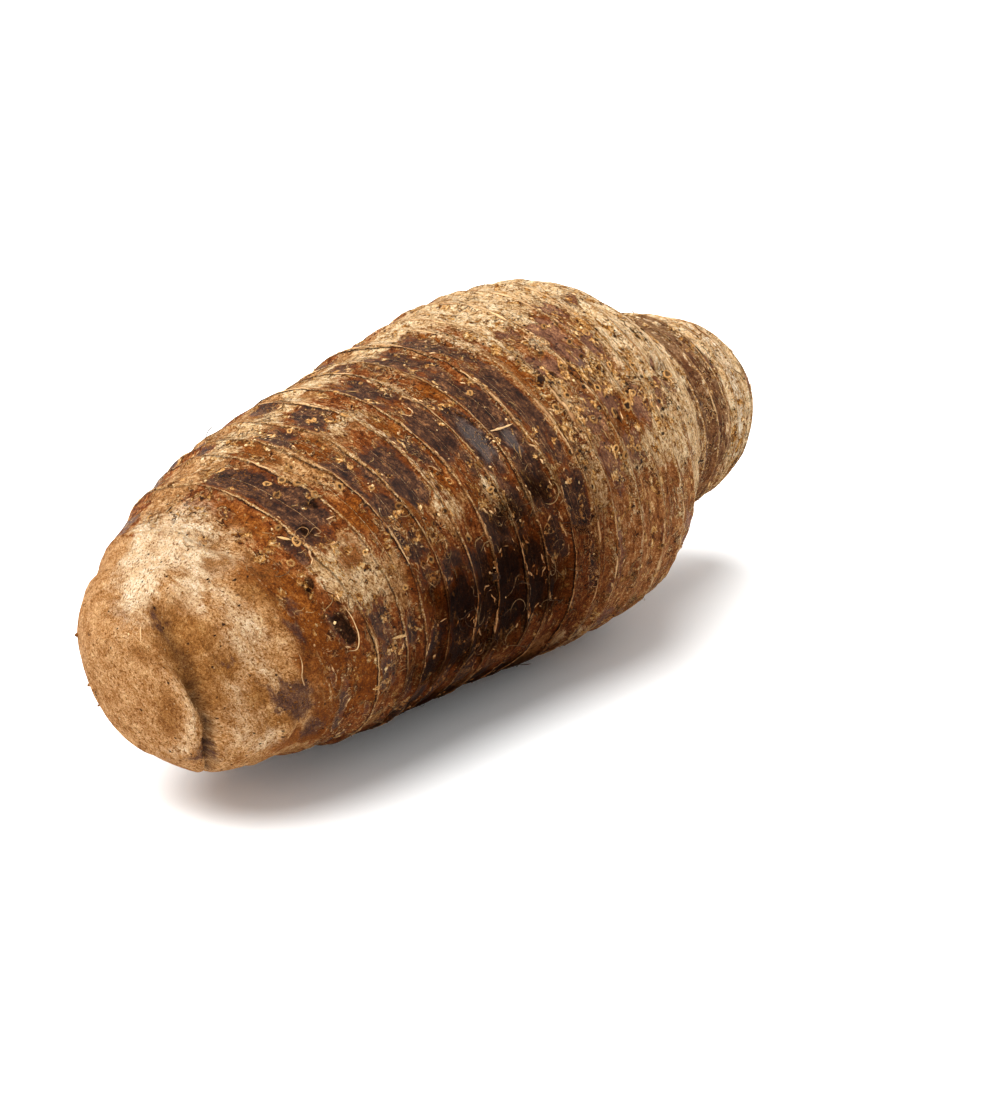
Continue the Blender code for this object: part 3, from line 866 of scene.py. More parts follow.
def fine_relief(reach, angle):
    """Drawn-out fibrous unevenness of the bark and the finer form of the front end."""
    space = skin_space(reach, angle)
    height = noise("fibres", space) + noise("swells", space)
    tube = tube_at(reach)
    for place, degrees, half_length, half_turn, form in FINE_FORMS:
        across = turn_from(angle, degrees) * tube
        half_width = half_turn * tube / DEGREES_IN_RADIAN
        height = height + form * bump(reach - place, half_length) * bump(across, half_width)
    degrees = np.clip(np.degrees(angle), FACET_EDGE[0][0], FACET_EDGE[-1][0])
    on_facet = np.clip(np.minimum(degrees - FACET_FROM, FACET_TO - degrees) / FACET_FADE, 0.0, 1.0)
    past_edge = reach - curve_through(FACET_EDGE, degrees)
    height = height + FACET_EDGE_HEIGHT * on_facet * bump(past_edge, FACET_EDGE_HALF)
    behind, half, depth = crease(reach, angle)
    uneven = 1.0 + noise("crease_depth", space)
    from_lip = behind + half + CREASE_LIP_BEFORE
    lip = bump(from_lip, np.where(from_lip < 0, CREASE_LIP_ON_FACE, CREASE_LIP_BEHIND * half))
    height = height + CREASE_LIP_HEIGHT * uneven * lip * (depth / SHARP_CREASE) ** 2
    return height - depth * uneven * bump(behind, half)


def skin(reach, angle, lift=0.0):
    """Points of the skin, in metres, or of a layer lifted off it by a number of millimetres."""
    reach = np.asarray(reach, dtype=float)
    along = np.clip(reach, 0.0, LENGTH)
    past_rim = along - reach
    fade = ends_fade(along, LEAN_FADE_FRONT, LEAN_FADE_BACK)
    lean = curve_through(RADIUS, along) * fade * (LEAN_SIDE * np.cos(angle) + LEAN_TOP * np.sin(angle))
    leaned = np.clip(along + lean, 0.0, LENGTH)
    centre, forward, side, up = spine_at(leaned)
    tube = curve_through(RADIUS, leaned)
    share = 1.0 - np.abs(past_rim) / tube
    outward = np.cos(angle)[..., None] * side + np.sin(angle)[..., None] * up
    bulge = np.where(past_rim > 0, -FRONT_BULGE, BACK_BULGE) * (1.0 - share ** 2)
    points = centre + (tube * share)[..., None] * outward + bulge[..., None] * forward
    height = relief(reach, angle, tube) * share ** 4 + fine_relief(reach, angle) * share + lift
    points = points + height[..., None] * outward
    points[..., 2] = np.maximum(points[..., 2], ORIGIN[2])
    return (points - ORIGIN) * MM


def axes_at(reach, angle):
    """For places on the skin: the point, and unit directions along the corm, round it and outward."""
    step = 0.4
    turn = step / tube_at(reach)
    along = unit(skin(reach + step, angle) - skin(reach - step, angle))
    around = unit(skin(reach, angle + turn) - skin(reach, angle - turn))
    outward = unit(np.cross(around, along))
    return skin(reach, angle), along, unit(np.cross(along, outward)), outward


def patch_distance(reach, angle, patches):
    """Millimetres inside the nearest patch's edge, or outside it when negative."""
    tube = tube_at(reach)
    nearest = np.full(np.broadcast(reach, angle).shape, -FIELD_REACH)
    for place, degrees, half_length, half_turn in patches:
        half_width = np.radians(half_turn) * tube
        away = np.abs((reach - place) / half_length) ** PATCH_POWER
        away = away + np.abs(turn_from(angle, degrees) * tube / half_width) ** PATCH_POWER
        away = away ** (1 / PATCH_POWER)
        nearest = np.maximum(nearest, (1 - away) * np.minimum(half_length, half_width))
    return nearest


def unseen_patches(seed, count, longest, widest):
    """Patches for the far side and the belly: each lies in a band between two leaf scars."""
    draw = random.Random(seed)
    made = []
    while len(made) < count:
        index = draw.randrange(*UNSEEN_BANDS)
        first, last = SCARS[index][0], SCARS[index + 1][0]
        half_length = (last - first) / 2 * draw.uniform(LEAST_OF_BAND, longest)
        turn = draw.uniform(SHOWN_TO + UNSEEN_MARGIN, SHOWN_FROM + 360 - UNSEEN_MARGIN)
        place = (first + last) / 2 + draw.uniform(-UNSEEN_STRAY, UNSEEN_STRAY)
        made.append((place, turn, half_length, draw.uniform(LEAST_HALF_TURN, widest)))
    return tuple(made)


def ring_offset(reach, angle):
    """Millimetres past the nearest leaf scar, which wanders a little off its circle."""
    wandered = reach + noise("ring_wander", skin_space(reach, angle))
    places = np.array([place for place, _ in SCARS])
    nearest = np.abs(wandered[..., None] - places).argmin(axis=-1)
    return wandered - places[nearest]


def skin_fields(reach, angle):
    """How far inside each kind of patch the skin is, in millimetres, and less than nothing outside it.

    Edges are drawn out round the corm into fingers, because the skin tears along its fibres."""
    space = skin_space(reach, angle)
    fingers = noise("fingers", space) + noise("fine_fingers", space)
    moved_reach = reach + noise("drift", space)
    moved_angle = angle + fingers / tube_at(reach)
    fields = {}
    for name, patches in PATCHES.items():
        unseen = unseen_patches(*UNSEEN_PATCHES[name]) if name in UNSEEN_PATCHES else ()
        fields[name] = patch_distance(moved_reach, moved_angle, patches + unseen)

    # Whole skin has holes, wears off beside the leaf scars and is left in scraps; bare cork lies in streaks
    wear = np.clip(WEAR_EVENLY + noise("ring_wear", space), 0.0, MOST_WEAR)
    wear = bump(ring_offset(reach, angle) - WEAR_PAST_RING, WEAR_HALF) * wear
    scraps = MOTTLE_SIZE * (noise("mottle", space) - MOTTLE_LEVEL)
    thinned = np.clip(fields["pale"] + THINNED_OUTSIDE, 0.0, THINNED_WITHIN)
    scraps = scraps - MOTTLE_OFF_PALE * thinned - wear
    dark = fields["dark"] + noise("holes", space) - WEAR_ON_DARK * wear
    fields["dark"] = np.maximum(dark, np.where(reach > MOTTLED_FROM, scraps, -FIELD_REACH))
    streaks = noise("streaks", space)
    alone = STREAK_LENGTH * streaks - STREAK_LEVEL + WEAR_ON_PALE * wear
    fields["pale"] = np.maximum(fields["pale"] + STREAKS_ON_EDGE * streaks, alone)
    return fields


def low_side_shade(reach, angle):
    """How dark the low side is painted, as shade, from 0 to 1."""
    turn = np.degrees(angle) % 360
    below = ramp(turn, *LOW_SHADE_NEAR_SIDE) * ramp(turn, *LOW_SHADE_FAR_SIDE)
    return below * below * (3.0 - 2.0 * below) * np.interp(reach, *np.array(LOW_SHADE_ALONG).T)


def places_on_skin(reach, angle, points, scars):
    """What else the material asks about each point, by name, mostly from 0 to 1."""
    space = skin_space(reach, angle)
    off_top = np.abs(turn_from(angle, TOP_TURN)) / TOP_HALF
    pale_top = ramp(reach, *PALE_TOP) * np.clip(1.0 - off_top, 0.0, 1.0)
    lines = np.clip(LINE_SURE + LINE_PATCHY * noise("presence", space), 0.0, 1.0) * ramp(reach, *LINES)
    facing = np.where(reach < LAST_FRONT_LEDGE, 1.0, -1.0)
    behind, half, depth = crease(reach, angle)
    # Painted shade in the crease, darkest where the crease is deepest
    shade_in_crease = np.clip(CREASE_SHADE + noise("crease_shade", space), 0.0, MOST_CREASE_SHADE)
    shade_in_crease = shade_in_crease * (depth / SHARP_CREASE) ** 3
    tan = np.minimum(ramp(patch_distance(reach, angle, TAN_PATCHES), *SOFT_TAN_EDGE), MOST_TAN)
    banded = np.clip(KNOB_BAND_FULL - np.abs(reach - KNOB_BAND) / KNOB_BAND_HALF, 0.0, 1.0)
    on_front = ramp(reach, *FRONT)
    crusted = ramp(patch_distance(reach, angle, CRUSTED_PATCHES), *SOFT_EDGE)
    calm = ramp(patch_distance(reach, angle, CALM_PATCHES), *SOFT_EDGE)
    halo = np.maximum(halo_round(points, scars), CRUSTED_SHARE * crusted)
    return {
        "presence": lines * (1.0 - LINES_LOST * pale_top),
        "beside": ring_offset(reach, angle) * facing,
        "crease": shade_in_crease * bump(behind - SHADE_BEHIND, SHADE_HALF + SHADE_OF_HALF * half),
        # Painted shade on the low side, made uneven
        "low_shade": low_side_shade(reach, angle) * (1.0 + noise("low_shade", space)),
        "faded": np.maximum(np.interp(reach, *np.array(FADED_ALONG).T), tan),
        "knob": ramp(reach, *KNOB) * (KNOB_BROWN + KNOB_BAND_BROWN * banded),
        "front": on_front,
        "along": on_front * ramp(reach, *FIBRES_ALONG) * np.clip(2.0 - off_top, 0.0, 1.0),
        "halo": halo - CALMED * calm * (halo < STRONG_HALO)}


def halo_round(points, scars):
    """How near each point is to a root scar, where the cork round it is bare."""
    tree = kdtree.KDTree(len(points))
    for index, point in enumerate(points):
        tree.insert(point, index)
    tree.balance()
    halo = np.zeros(len(points))
    places, radii = scars
    for centre, radius in zip(skin(places[:, 0], places[:, 1]), radii):
        for _, index, away in tree.find_range(centre, HALO_REACH * radius * MM):
            halo[index] = max(halo[index], 1.0 - away / (HALO_REACH * radius * MM))
    return halo


def put_together(name, points, faces, material):
    """Makes an object of points in metres and faces as tuples of indices, with its material."""
    mesh = bpy.data.meshes.new(name)
    mesh.from_pydata(np.asarray(points).reshape(-1, 3).tolist(), [], faces)
    mesh.shade_smooth()
    made = bpy.data.objects.new(name, mesh)
    bpy.context.collection.objects.link(made)
    mesh.materials.append(material)
    return made


def face_outward(made):
    """Turns each closed body's faces outward."""
    form = bmesh.new()
    form.from_mesh(made.data)
    bmesh.ops.recalc_face_normals(form, faces=form.faces[:])
    form.to_mesh(made.data)
    form.free()


def keep(mesh, name, values):
    """Stores a number for each point, for the material to read."""
    mesh.attributes.new(name, "FLOAT", "POINT").data.foreach_set("value", values.ravel().astype(np.float32))


def closed_bodies(name, points, material, **values):
    """Many closed bodies in one object, save those that would reach under the flat spot.

    The points are counted by body, row and place round the row, and the values are kept for each body, or
    for each of its rows."""
    clear = points[..., 2].min(axis=(1, 2)) > 0.0
    points = points[clear]
    bodies, rows, around = points.shape[:3]
    index = np.arange(bodies * rows * around).reshape(bodies, rows, around)
    near, far = index[:, :-1], index[:, 1:]
    sides = np.stack([near, far, np.roll(far, -1, axis=-1), np.roll(near, -1, axis=-1)], axis=-1)
    faces = sides.reshape(-1, 4).tolist() + index[:, 0, ::-1].tolist() + index[:, -1].tolist()
    made = put_together(name, points, faces, material)
    face_outward(made)
    for value_name, value in values.items():
        by_row = value[clear].reshape(bodies, -1, 1)
        keep(made.data, value_name, np.broadcast_to(by_row, (bodies, rows, around)))
    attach(made, "root")


def strips(name, reach, angle, lift, half_width, thickness, profile, material, tone):
    """Thin strips lying on the skin, one for each row of places. Each narrows to its two ends."""
    centre = skin(reach, angle, lift)
    _, _, _, outward = axes_at(reach, angle)
    path = unit(np.gradient(centre, axis=1))
    across = unit(np.cross(outward, path))
    share = np.linspace(-1.0, 1.0, reach.shape[1])
    taper = np.maximum(np.sqrt(1.0 - share ** 2), END_OF_STRIP)
    uneven = 1.0 + noise("strips", centre / MM)
    wide = (half_width[:, None] * taper * uneven)[..., None, None] * across[:, :, None]
    thick = (thickness[:, None] * taper)[..., None, None] * outward[:, :, None]
    corners = np.array(profile)
    points = centre[:, :, None] + MM * (wide * corners[:, 0, None] + thick * corners[:, 1, None])
    # Painted shade: pieces on the low side are darkened like the skin there
    tone = tone * (1.0 - SHADED_BELOW * low_side_shade(reach, angle).mean(axis=1))
    closed_bodies(name, points, material, tone=tone)


def node(tree, kind, inputs=None, stops=None, give=0, **settings):
    """Adds a node with its settings and links, and returns one of its outputs. Inputs are values or other
    nodes' outputs; stops are the places and hex colours of a colour ramp."""
    made = tree.nodes.new("ShaderNode" + kind)
    for name, value in settings.items():
        setattr(made, name, value)
    for key, value in (inputs or {}).items():
        if isinstance(value, bpy.types.NodeSocket):
            tree.links.new(value, made.inputs[key])
        else:
            made.inputs[key].default_value = value
    for index, (place, code) in enumerate(stops or ()):
        elements = made.color_ramp.elements
        point = elements[index] if index < len(elements) else elements.new(place)
        point.position = place
        point.color = linear(code)
    return made.outputs[give]


def new_material(name):
    """An empty material with its tree and its Principled shader."""
    material = bpy.data.materials.new(name)
    material.use_nodes = True
    tree = material.node_tree
    return material, tree, tree.nodes["Principled BSDF"]


def bark_grain(tree, place):
    """The bark's grains, by name."""
    grain = {}
    for name, (scale, detail, rough, swirl) in GRAINS.items():
        scaled = node(tree, "Mapping", {"Vector": place, "Scale": scale})
        grain[name] = node(tree, "TexNoise", {"Vector": scaled, "Scale": 1.0, "Detail": detail,
                                              "Roughness": rough, "Distortion": swirl})
    return grain


def light_and_dark(tree, at, grain):
    """Light and dark within each kind of bark, from 0 to 1."""
    added = {}
    for part, (start, shares) in LIGHT_AND_DARK.items():
        added[part] = start
        for name, share in shares.items():
            added[part] = node(tree, "Math", {0: grain[name], 1: share, 2: added[part]},
                               operation="MULTIPLY_ADD")
    mixed = node(tree, "Mix", {0: at["front"], 2: added["body"], 3: added["front"]})
    return node(tree, "MapRange", {"Value": mixed, "From Min": 0.4, "From Max": 0.6})


def patches_of_bark(tree, at, grain):
    """How much of each kind of patch there is, with ragged edges."""
    share = {}
    for name, (sway, first, full, most) in EDGES.items():
        swayed = node(tree, "Math", {0: grain["ragged"], 1: sway, 2: at[name]}, operation="MULTIPLY_ADD")
        share[name] = node(tree, "MapRange", {"Value": swayed, "From Min": first + sway / 2, "To Max": most,
                                              "From Max": full + sway / 2}, interpolation_type="SMOOTHSTEP")
    return share


def whole_skin(tree, at, grain):
    """Where the outer skin is whole, where it is thick, and a slope across its torn edge. It stays off the
    root scars."""
    off_roots = node(tree, "Math", {0: at["halo"], 1: -1.1, 2: at["dark"]}, operation="MULTIPLY_ADD")
    depth = node(tree, "Math", {0: grain["ragged"], 1: 3.8, 2: off_roots}, operation="MULTIPLY_ADD")
    patchy = node(tree, "Math", {0: grain["blotches"], 1: 7.0, 2: depth}, operation="MULTIPLY_ADD")
    return (node(tree, "MapRange", {"Value": depth, "From Min": 1.8, "From Max": 2.05}),
            node(tree, "MapRange", {"Value": patchy, "From Min": 5.5, "From Max": 6.5}),
            node(tree, "MapRange", {"Value": depth, "From Min": 0.8, "From Max": 2.8}))


def edges_and_lines(tree, at, grain, torn_edge, clusters):
    """Torn edges, curled rags and the leaf scars' straw-coloured lines, each with a painted shadow beside it.
    They are broken here and there."""
    torn_here = node(tree, "MapRange", {"Value": grain["blotches"], "From Min": 0.46, "From Max": 0.54})
    past_line = node(tree, "Math", {0: grain["ragged"], 1: 1.8, 2: at["beside"]}, operation="MULTIPLY_ADD")
    past_line = node(tree, "MapRange", {"Value": past_line, "From Min": -1.1, "From Max": 2.9})
    on_line = node(tree, "Math", {0: grain["blotches"], 1: 2.5, 2: at["presence"]},
                   operation="MULTIPLY_ADD")
    on_line = node(tree, "MapRange", {"Value": on_line, "From Min": 1.25, "From Max": 1.6})
    share = {}
    for name, slope, where in (("torn_shadow", torn_edge, torn_here), ("torn", torn_edge, torn_here),
                               ("rag_shadow", grain["curls"], clusters), ("rags", grain["curls"], clusters),
                               ("line_shadow", past_line, at["presence"]), ("line", past_line, on_line)):
        banded = node(tree, "ValToRGB", {"Fac": slope}, stops=list(zip(BANDS[name], BAND_COLOURS)))
        share[name] = node(tree, "Math", {0: banded, 1: where}, operation="MULTIPLY")
    return share


def marks_of_cork(tree, at, grain, place, pale, on_body):
    """The small dark marks in bare cork: fibre ends, spots on the hind end, cracks, pores and dry earth."""
    share = {}

    # Fibre ends lie along the corm on its top near the front face, and round it elsewhere
    ends = node(tree, "Mix", {0: at["along"], 2: grain["round_ends"], 3: grain["along_ends"]})
    ends = node(tree, "MapRange", {"Value": ends, "From Min": 0.58, "From Max": 0.65, "To Max": 0.85})
    share["ends"] = node(tree, "Math", {0: ends, 1: pale}, operation="MULTIPLY")

    # The small hind end has dark spots between pale wrinkles
    spots = node(tree, "Math", {0: at["knob"], 1: 0.21, 2: grain["spots"]}, operation="MULTIPLY_ADD")
    spots = node(tree, "MapRange", {"Value": spots, "From Min": 0.57, "From Max": 0.61, "To Max": 0.9})
    on_knob = node(tree, "MapRange", {"Value": at["knob"], "From Min": 0.05, "From Max": 0.3})
    share["spots"] = node(tree, "Math", {0: spots, 1: on_knob}, operation="MULTIPLY")

    scaled = node(tree, "Mapping", {"Vector": place, "Scale": SCALES_OF_CORK})
    cracks = node(tree, "TexVoronoi", {"Vector": scaled, "Scale": 1.0}, feature="DISTANCE_TO_EDGE")
    cracks = node(tree, "MapRange", {"Value": cracks, "From Min": 0.02, "From Max": 0.08,
                                     "To Min": 0.35, "To Max": 0.0})
    cracks = node(tree, "Math", {0: cracks, 1: pale}, operation="MULTIPLY")
    share["cracks"] = node(tree, "Math", {0: cracks, 1: on_body}, operation="MULTIPLY")

    # Pores and earth gather near the root scars
    for name, (scale, most) in SPECKLES.items():
        near = node(tree, "TexVoronoi", {"Vector": place, "Scale": scale}, give="Distance")
        near = node(tree, "Math", {0: grain["grit"], 1: 0.3, 2: near}, operation="MULTIPLY_ADD")
        near = node(tree, "Math", {0: at["halo"], 1: -0.14, 2: near}, operation="MULTIPLY_ADD")
        share[name] = node(tree, "MapRange", {"Value": near, "From Min": 0.22, "From Max": 0.27,
                                              "To Min": most, "To Max": 0.0})
    return share


def bark_colour(tree, at, grain, share, thick):
    """The colours of the kinds of bark, laid over one another, then darkened on the low side as painted
    shade, and speckled.
    """
    in_colour = {"data_type": "RGBA", "give": 2}
    pattern = light_and_dark(tree, at, grain)
    palette = {}
    for name, stops in PALETTES.items():
        value = grain[GRAIN_OF_PALETTE[name]] if name in GRAIN_OF_PALETTE else pattern
        palette[name] = node(tree, "ValToRGB", {"Fac": value}, stops=stops)

    # Skin fades along the corm and is thin in places; bare cork and worn bark are paler where it is faded,
    # partly as painted light toward the hind end
    skin_colour = node(tree, "Mix", {0: at["faded"], 6: palette["whole"], 7: palette["faded"]}, **in_colour)
    palette["skin"] = node(tree, "Mix", {0: thick, 6: palette["thin"], 7: skin_colour}, **in_colour)
    paler = node(tree, "Math", {0: at["faded"], 1: 0.7}, operation="MULTIPLY")
    bare_cork = node(tree, "Mix", {0: paler, 6: palette["cork"], 7: palette["cream"]}, **in_colour)
    palette["bare_cork"] = bare_cork
    lighter = node(tree, "Math", {0: at["faded"], 1: 0.3}, operation="MULTIPLY")
    colour = node(tree, "Mix", {0: lighter, 6: palette["worn"], 7: palette["cork"]}, **in_colour)
    for name, over in LAYERS:
        laid = palette[over] if over in palette else linear(over)
        colour = node(tree, "Mix", {0: share[name], 6: colour, 7: laid}, **in_colour)

    # Painted shade: the low side's colour is multiplied by a dark tint, unevenly
    low_shade = node(tree, "MapRange", {"Value": grain["blotches"], "From Min": 0.35, "From Max": 0.6,
                                   "To Min": 0.7, "To Max": 1.0})
    low_shade = node(tree, "Math", {0: low_shade, 1: at["low_shade"]}, operation="MULTIPLY", use_clamp=True)
    colour = node(tree, "Mix", {0: low_shade, 6: colour, 7: linear(LOW_SHADE_COLOUR)}, blend_type="MULTIPLY",
                  **in_colour)
    specks = node(tree, "MapRange", {"Value": grain["specks"], "From Min": 0.3, "From Max": 0.7})
    return node(tree, "Mix", {0: SPECKLED, 6: colour, 7: specks}, blend_type="OVERLAY", **in_colour)


def bark_gloss(tree, at, grain, share, shader):
    """Roughness and shine: dull on cork, faintly glossy on whole skin, and dull again wherever shade is
    painted.
    """
    rough = node(tree, "MapRange", {"Value": share["whole"], "To Min": ROUGH_CORK, "To Max": ROUGH_SKIN})
    rough = node(tree, "Math", {0: grain["grit"], 1: 0.5, 2: rough}, operation="MULTIPLY_ADD")
    rough = node(tree, "Math", {0: rough, 1: 0.25}, operation="SUBTRACT")
    tree.links.new(rough, shader.inputs["Roughness"])
    shader.inputs["IOR"].default_value = PLANT_IOR
    shine = node(tree, "MapRange", {"Value": share["whole"], "To Min": SHINE_OF_CORK,
                                    "To Max": SHINE_OF_SKIN})
    # No shine where shade is painted: in the shade patches, the holes and on the low side
    dull = node(tree, "Math", {0: share["shade"], 1: 0.9, 2: share["hole"]}, operation="MULTIPLY_ADD")
    dull = node(tree, "Math", {0: at["low_shade"], 1: 0.7, 2: dull}, operation="MULTIPLY_ADD")
    dull = node(tree, "MapRange", {"Value": dull, "To Min": 1.0, "To Max": SHINE_KEPT_IN_DARK})
    shine = node(tree, "Math", {0: shine, 1: dull}, operation="MULTIPLY")
    tree.links.new(shine, shader.inputs["Specular IOR Level"])


def bark_bump(tree, grain, share, shader):
    """The relief too fine for the mesh: grit and fibres, calmer on whole skin, and what is raised or sunk."""
    calmer = node(tree, "MapRange", {"Value": share["whole"], "To Min": 1.0, "To Max": 0.6})
    height = node(tree, "Math", {0: grain["grit"], 1: 2.0, 2: grain["fibres"]}, operation="MULTIPLY_ADD")
    height = node(tree, "Math", {0: height, 1: calmer}, operation="MULTIPLY")
    for name, rise in RISES.items():
        height = node(tree, "Math", {0: share[name], 1: rise, 2: height}, operation="MULTIPLY_ADD")
    raised = node(tree, "Bump", {"Height": height, "Strength": 1.0, "Distance": GRAIN_HEIGHT * MM})
    tree.links.new(raised, shader.inputs["Normal"])


def corky_bark():
    """Cork bark of an aroid corm, grown and dried: dull granular tan cork, orange-brown where the outer skin
    is worn, and smooth, faintly glossy chocolate where it is whole."""
    material, tree, shader = new_material("corky_bark")
    at = {name: node(tree, "Attribute", give="Fac", attribute_name=name)
          for name in (*PATCHES, *ASKED_PLACES)}
    place = node(tree, "Attribute", give="Vector", attribute_name="grain")
    grain = bark_grain(tree, place)
    on_body = node(tree, "Math", {0: 1.0, 1: at["front"]}, operation="SUBTRACT")

    # Crust of dead cork round the root scars and in clusters, and rags of skin that curl up in it
    crusted = {}
    for name, (first, full) in CRUSTED_GRAIN.items():
        level = node(tree, "Math", {0: at["halo"], 1: CRUST_NEAR_ROOTS, 2: grain[name]},
                     operation="MULTIPLY_ADD")
        level = node(tree, "MapRange", {"Value": level, "From Min": first, "From Max": full})
        crusted[name] = node(tree, "Math", {0: level, 1: on_body}, operation="MULTIPLY")

    share = patches_of_bark(tree, at, grain)
    share["whole"], thick, torn_edge = whole_skin(tree, at, grain)
    share["crust"] = crusted["crust"]
    # The crease's painted shade
    share["crease"] = at["crease"]
    share.update(edges_and_lines(tree, at, grain, torn_edge, crusted["clusters"]))
    share.update(marks_of_cork(tree, at, grain, place, share["pale"], on_body))
    tree.links.new(bark_colour(tree, at, grain, share, thick), shader.inputs["Base Color"])
    bark_gloss(tree, at, grain, share, shader)
    bark_bump(tree, grain, share, shader)
    return material


def dry_stuff(name):
    """Dry, matt plant stuff, each piece of its own tone, streaked, and black at tone 0: dirt, and painted
    shade on the low side and in a crack.
    """
    dark, light, roughness = DRY_STUFF[name]
    material, tree, shader = new_material(name)
    tone = node(tree, "Attribute", give="Fac", attribute_name="tone")
    place = node(tree, "TexCoord", give="Object")
    streaks = node(tree, "TexNoise", {"Vector": place, "Scale": STREAKS_TO_A_METRE, "Detail": 4.0})
    mixed = node(tree, "Math", {0: streaks, 1: 0.7, 2: tone}, operation="MULTIPLY_ADD")
    share = node(tree, "MapRange", {"Value": mixed, "From Min": 0.25, "From Max": 1.2})
    colour = node(tree, "ValToRGB", {"Fac": share}, stops=((0.08, DIRT_AND_SHADE), (0.22, dark), (1.0, light)))
    tree.links.new(colour, shader.inputs["Base Color"])
    shader.inputs["Roughness"].default_value = roughness
    shader.inputs["IOR"].default_value = PLANT_IOR
    shader.inputs["Specular IOR Level"].default_value = SHINE_OF_CORK
    raised = node(tree, "Bump", {"Height": streaks, "Strength": 0.6, "Distance": STREAK_HEIGHT * MM})
    tree.links.new(raised, shader.inputs["Normal"])
    return material


def root_scar_cork():
    """A ring of pale cork, darkening to a black hollow where the root was."""
    material = dry_stuff("root_scar_cork")
    tree = material.node_tree
    shader = tree.nodes["Principled BSDF"]
    cup = node(tree, "Attribute", give="Fac", attribute_name="cup")
    rim = shader.inputs["Base Color"].links[0].from_socket
    colour = node(tree, "Mix", {0: cup, 6: rim, 7: linear(CUP_COLOUR)}, data_type="RGBA", give=2)
    tree.links.new(colour, shader.inputs["Base Color"])
    return material


def rows_of_skin():
    """Reach of the skin's rows: close together at the leaf scars, evenly between them, and over the ends."""
    crests = np.array([place for place, _ in SCARS])
    beside = (crests[:, None] + np.array(SCAR_ROWS)).ravel()
    between = []
    for first, last in zip(crests[:-1], crests[1:]):
        room = last - first - 2 * SCAR_ROWS[-1]
        count = max(int(round(room / ROW_SPACING)), 1)
        between.extend(first + SCAR_ROWS[-1] + room * np.arange(1, count) / count)
    ends = [np.linspace(first, last, count) for first, last, count in END_ROWS]
    return np.sort(np.concatenate([beside, between, *ends]))


def faces_of_skin(count):
    """Faces between the rows, and fans to the two poles, whose points come after all the rows."""
    index = np.arange(count * SEGMENTS).reshape(count, SEGMENTS)
    near, far = index[:-1], index[1:]
    quads = np.stack([near, far, np.roll(far, -1, axis=1), np.roll(near, -1, axis=1)], axis=-1)
    front, back = count * SEGMENTS, count * SEGMENTS + 1
    fans = [(front, int(a), int(b)) for a, b in zip(index[0], np.roll(index[0], -1))]
    fans += [(back, int(b), int(a)) for a, b in zip(index[-1], np.roll(index[-1], -1))]
    return quads.reshape(-1, 4).tolist() + fans


def make_skin(material, scars):
    """The corm's skin as one closed mesh in the solid's place. Gives back its rows, the angles of their
    points, and how far inside whole skin each point is."""
    rows = rows_of_skin()
    angles = np.linspace(0.0, 2 * np.pi, SEGMENTS, endpoint=False)
    reach, angle = np.meshgrid(rows, angles, indexing="ij")
    reach = np.concatenate([reach.ravel(), POLES])
    angle = np.concatenate([angle.ravel(), [0.0, 0.0]])
    points = skin(reach, angle)
    made = put_together("corm_skin", points, faces_of_skin(len(rows)), material)
    face_outward(made)
    fields = skin_fields(reach, angle)
    for name, inside in fields.items():
        keep(made.data, name, np.clip(inside, -FIELD_REACH, FIELD_REACH))
    for name, value in places_on_skin(reach, angle, points, scars).items():
        keep(made.data, name, value)
    grain = made.data.attributes.new("grain", "FLOAT_VECTOR", "POINT")
    grain.data.foreach_set("vector", skin_space(reach, angle).astype(np.float32).ravel())
    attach(made, "root")
    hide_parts("corm")
    return rows, angles, fields["dark"][:-len(POLES)].reshape(len(rows), SEGMENTS)


def scatter(count, draw, span=SCATTERED):
    """Places spread by chance, crowded near the leaf scars."""
    crests = np.array([place for place, _ in SCARS])
    reach = np.where(draw.random(count) < SHARE_AT_SCARS,
                     draw.choice(crests[END_SCARS:-END_SCARS], count) + draw.normal(0, OFF_SCARS, count),
                     draw.uniform(*span, count))
    return np.clip(reach, *span), draw.uniform(0, 2 * np.pi, count)


def root_scars(draw):
    """Places and radii of the scars that shed roots left: the larger ones seen, then others by chance."""
    seen = np.array(SEEN_ROOT_SCARS, dtype=float)
    unseen = np.stack(scatter(UNSEEN_ROOT_SCARS, draw), axis=-1)
    places = np.concatenate([np.stack([seen[:, 0], np.radians(seen[:, 1])], axis=-1), unseen])
    radii = LEAST_ROOT + LARGER_ROOTS * draw.random(UNSEEN_ROOT_SCARS) ** 2
    return places, np.concatenate([SEEN_SCALE * seen[:, 2], radii])


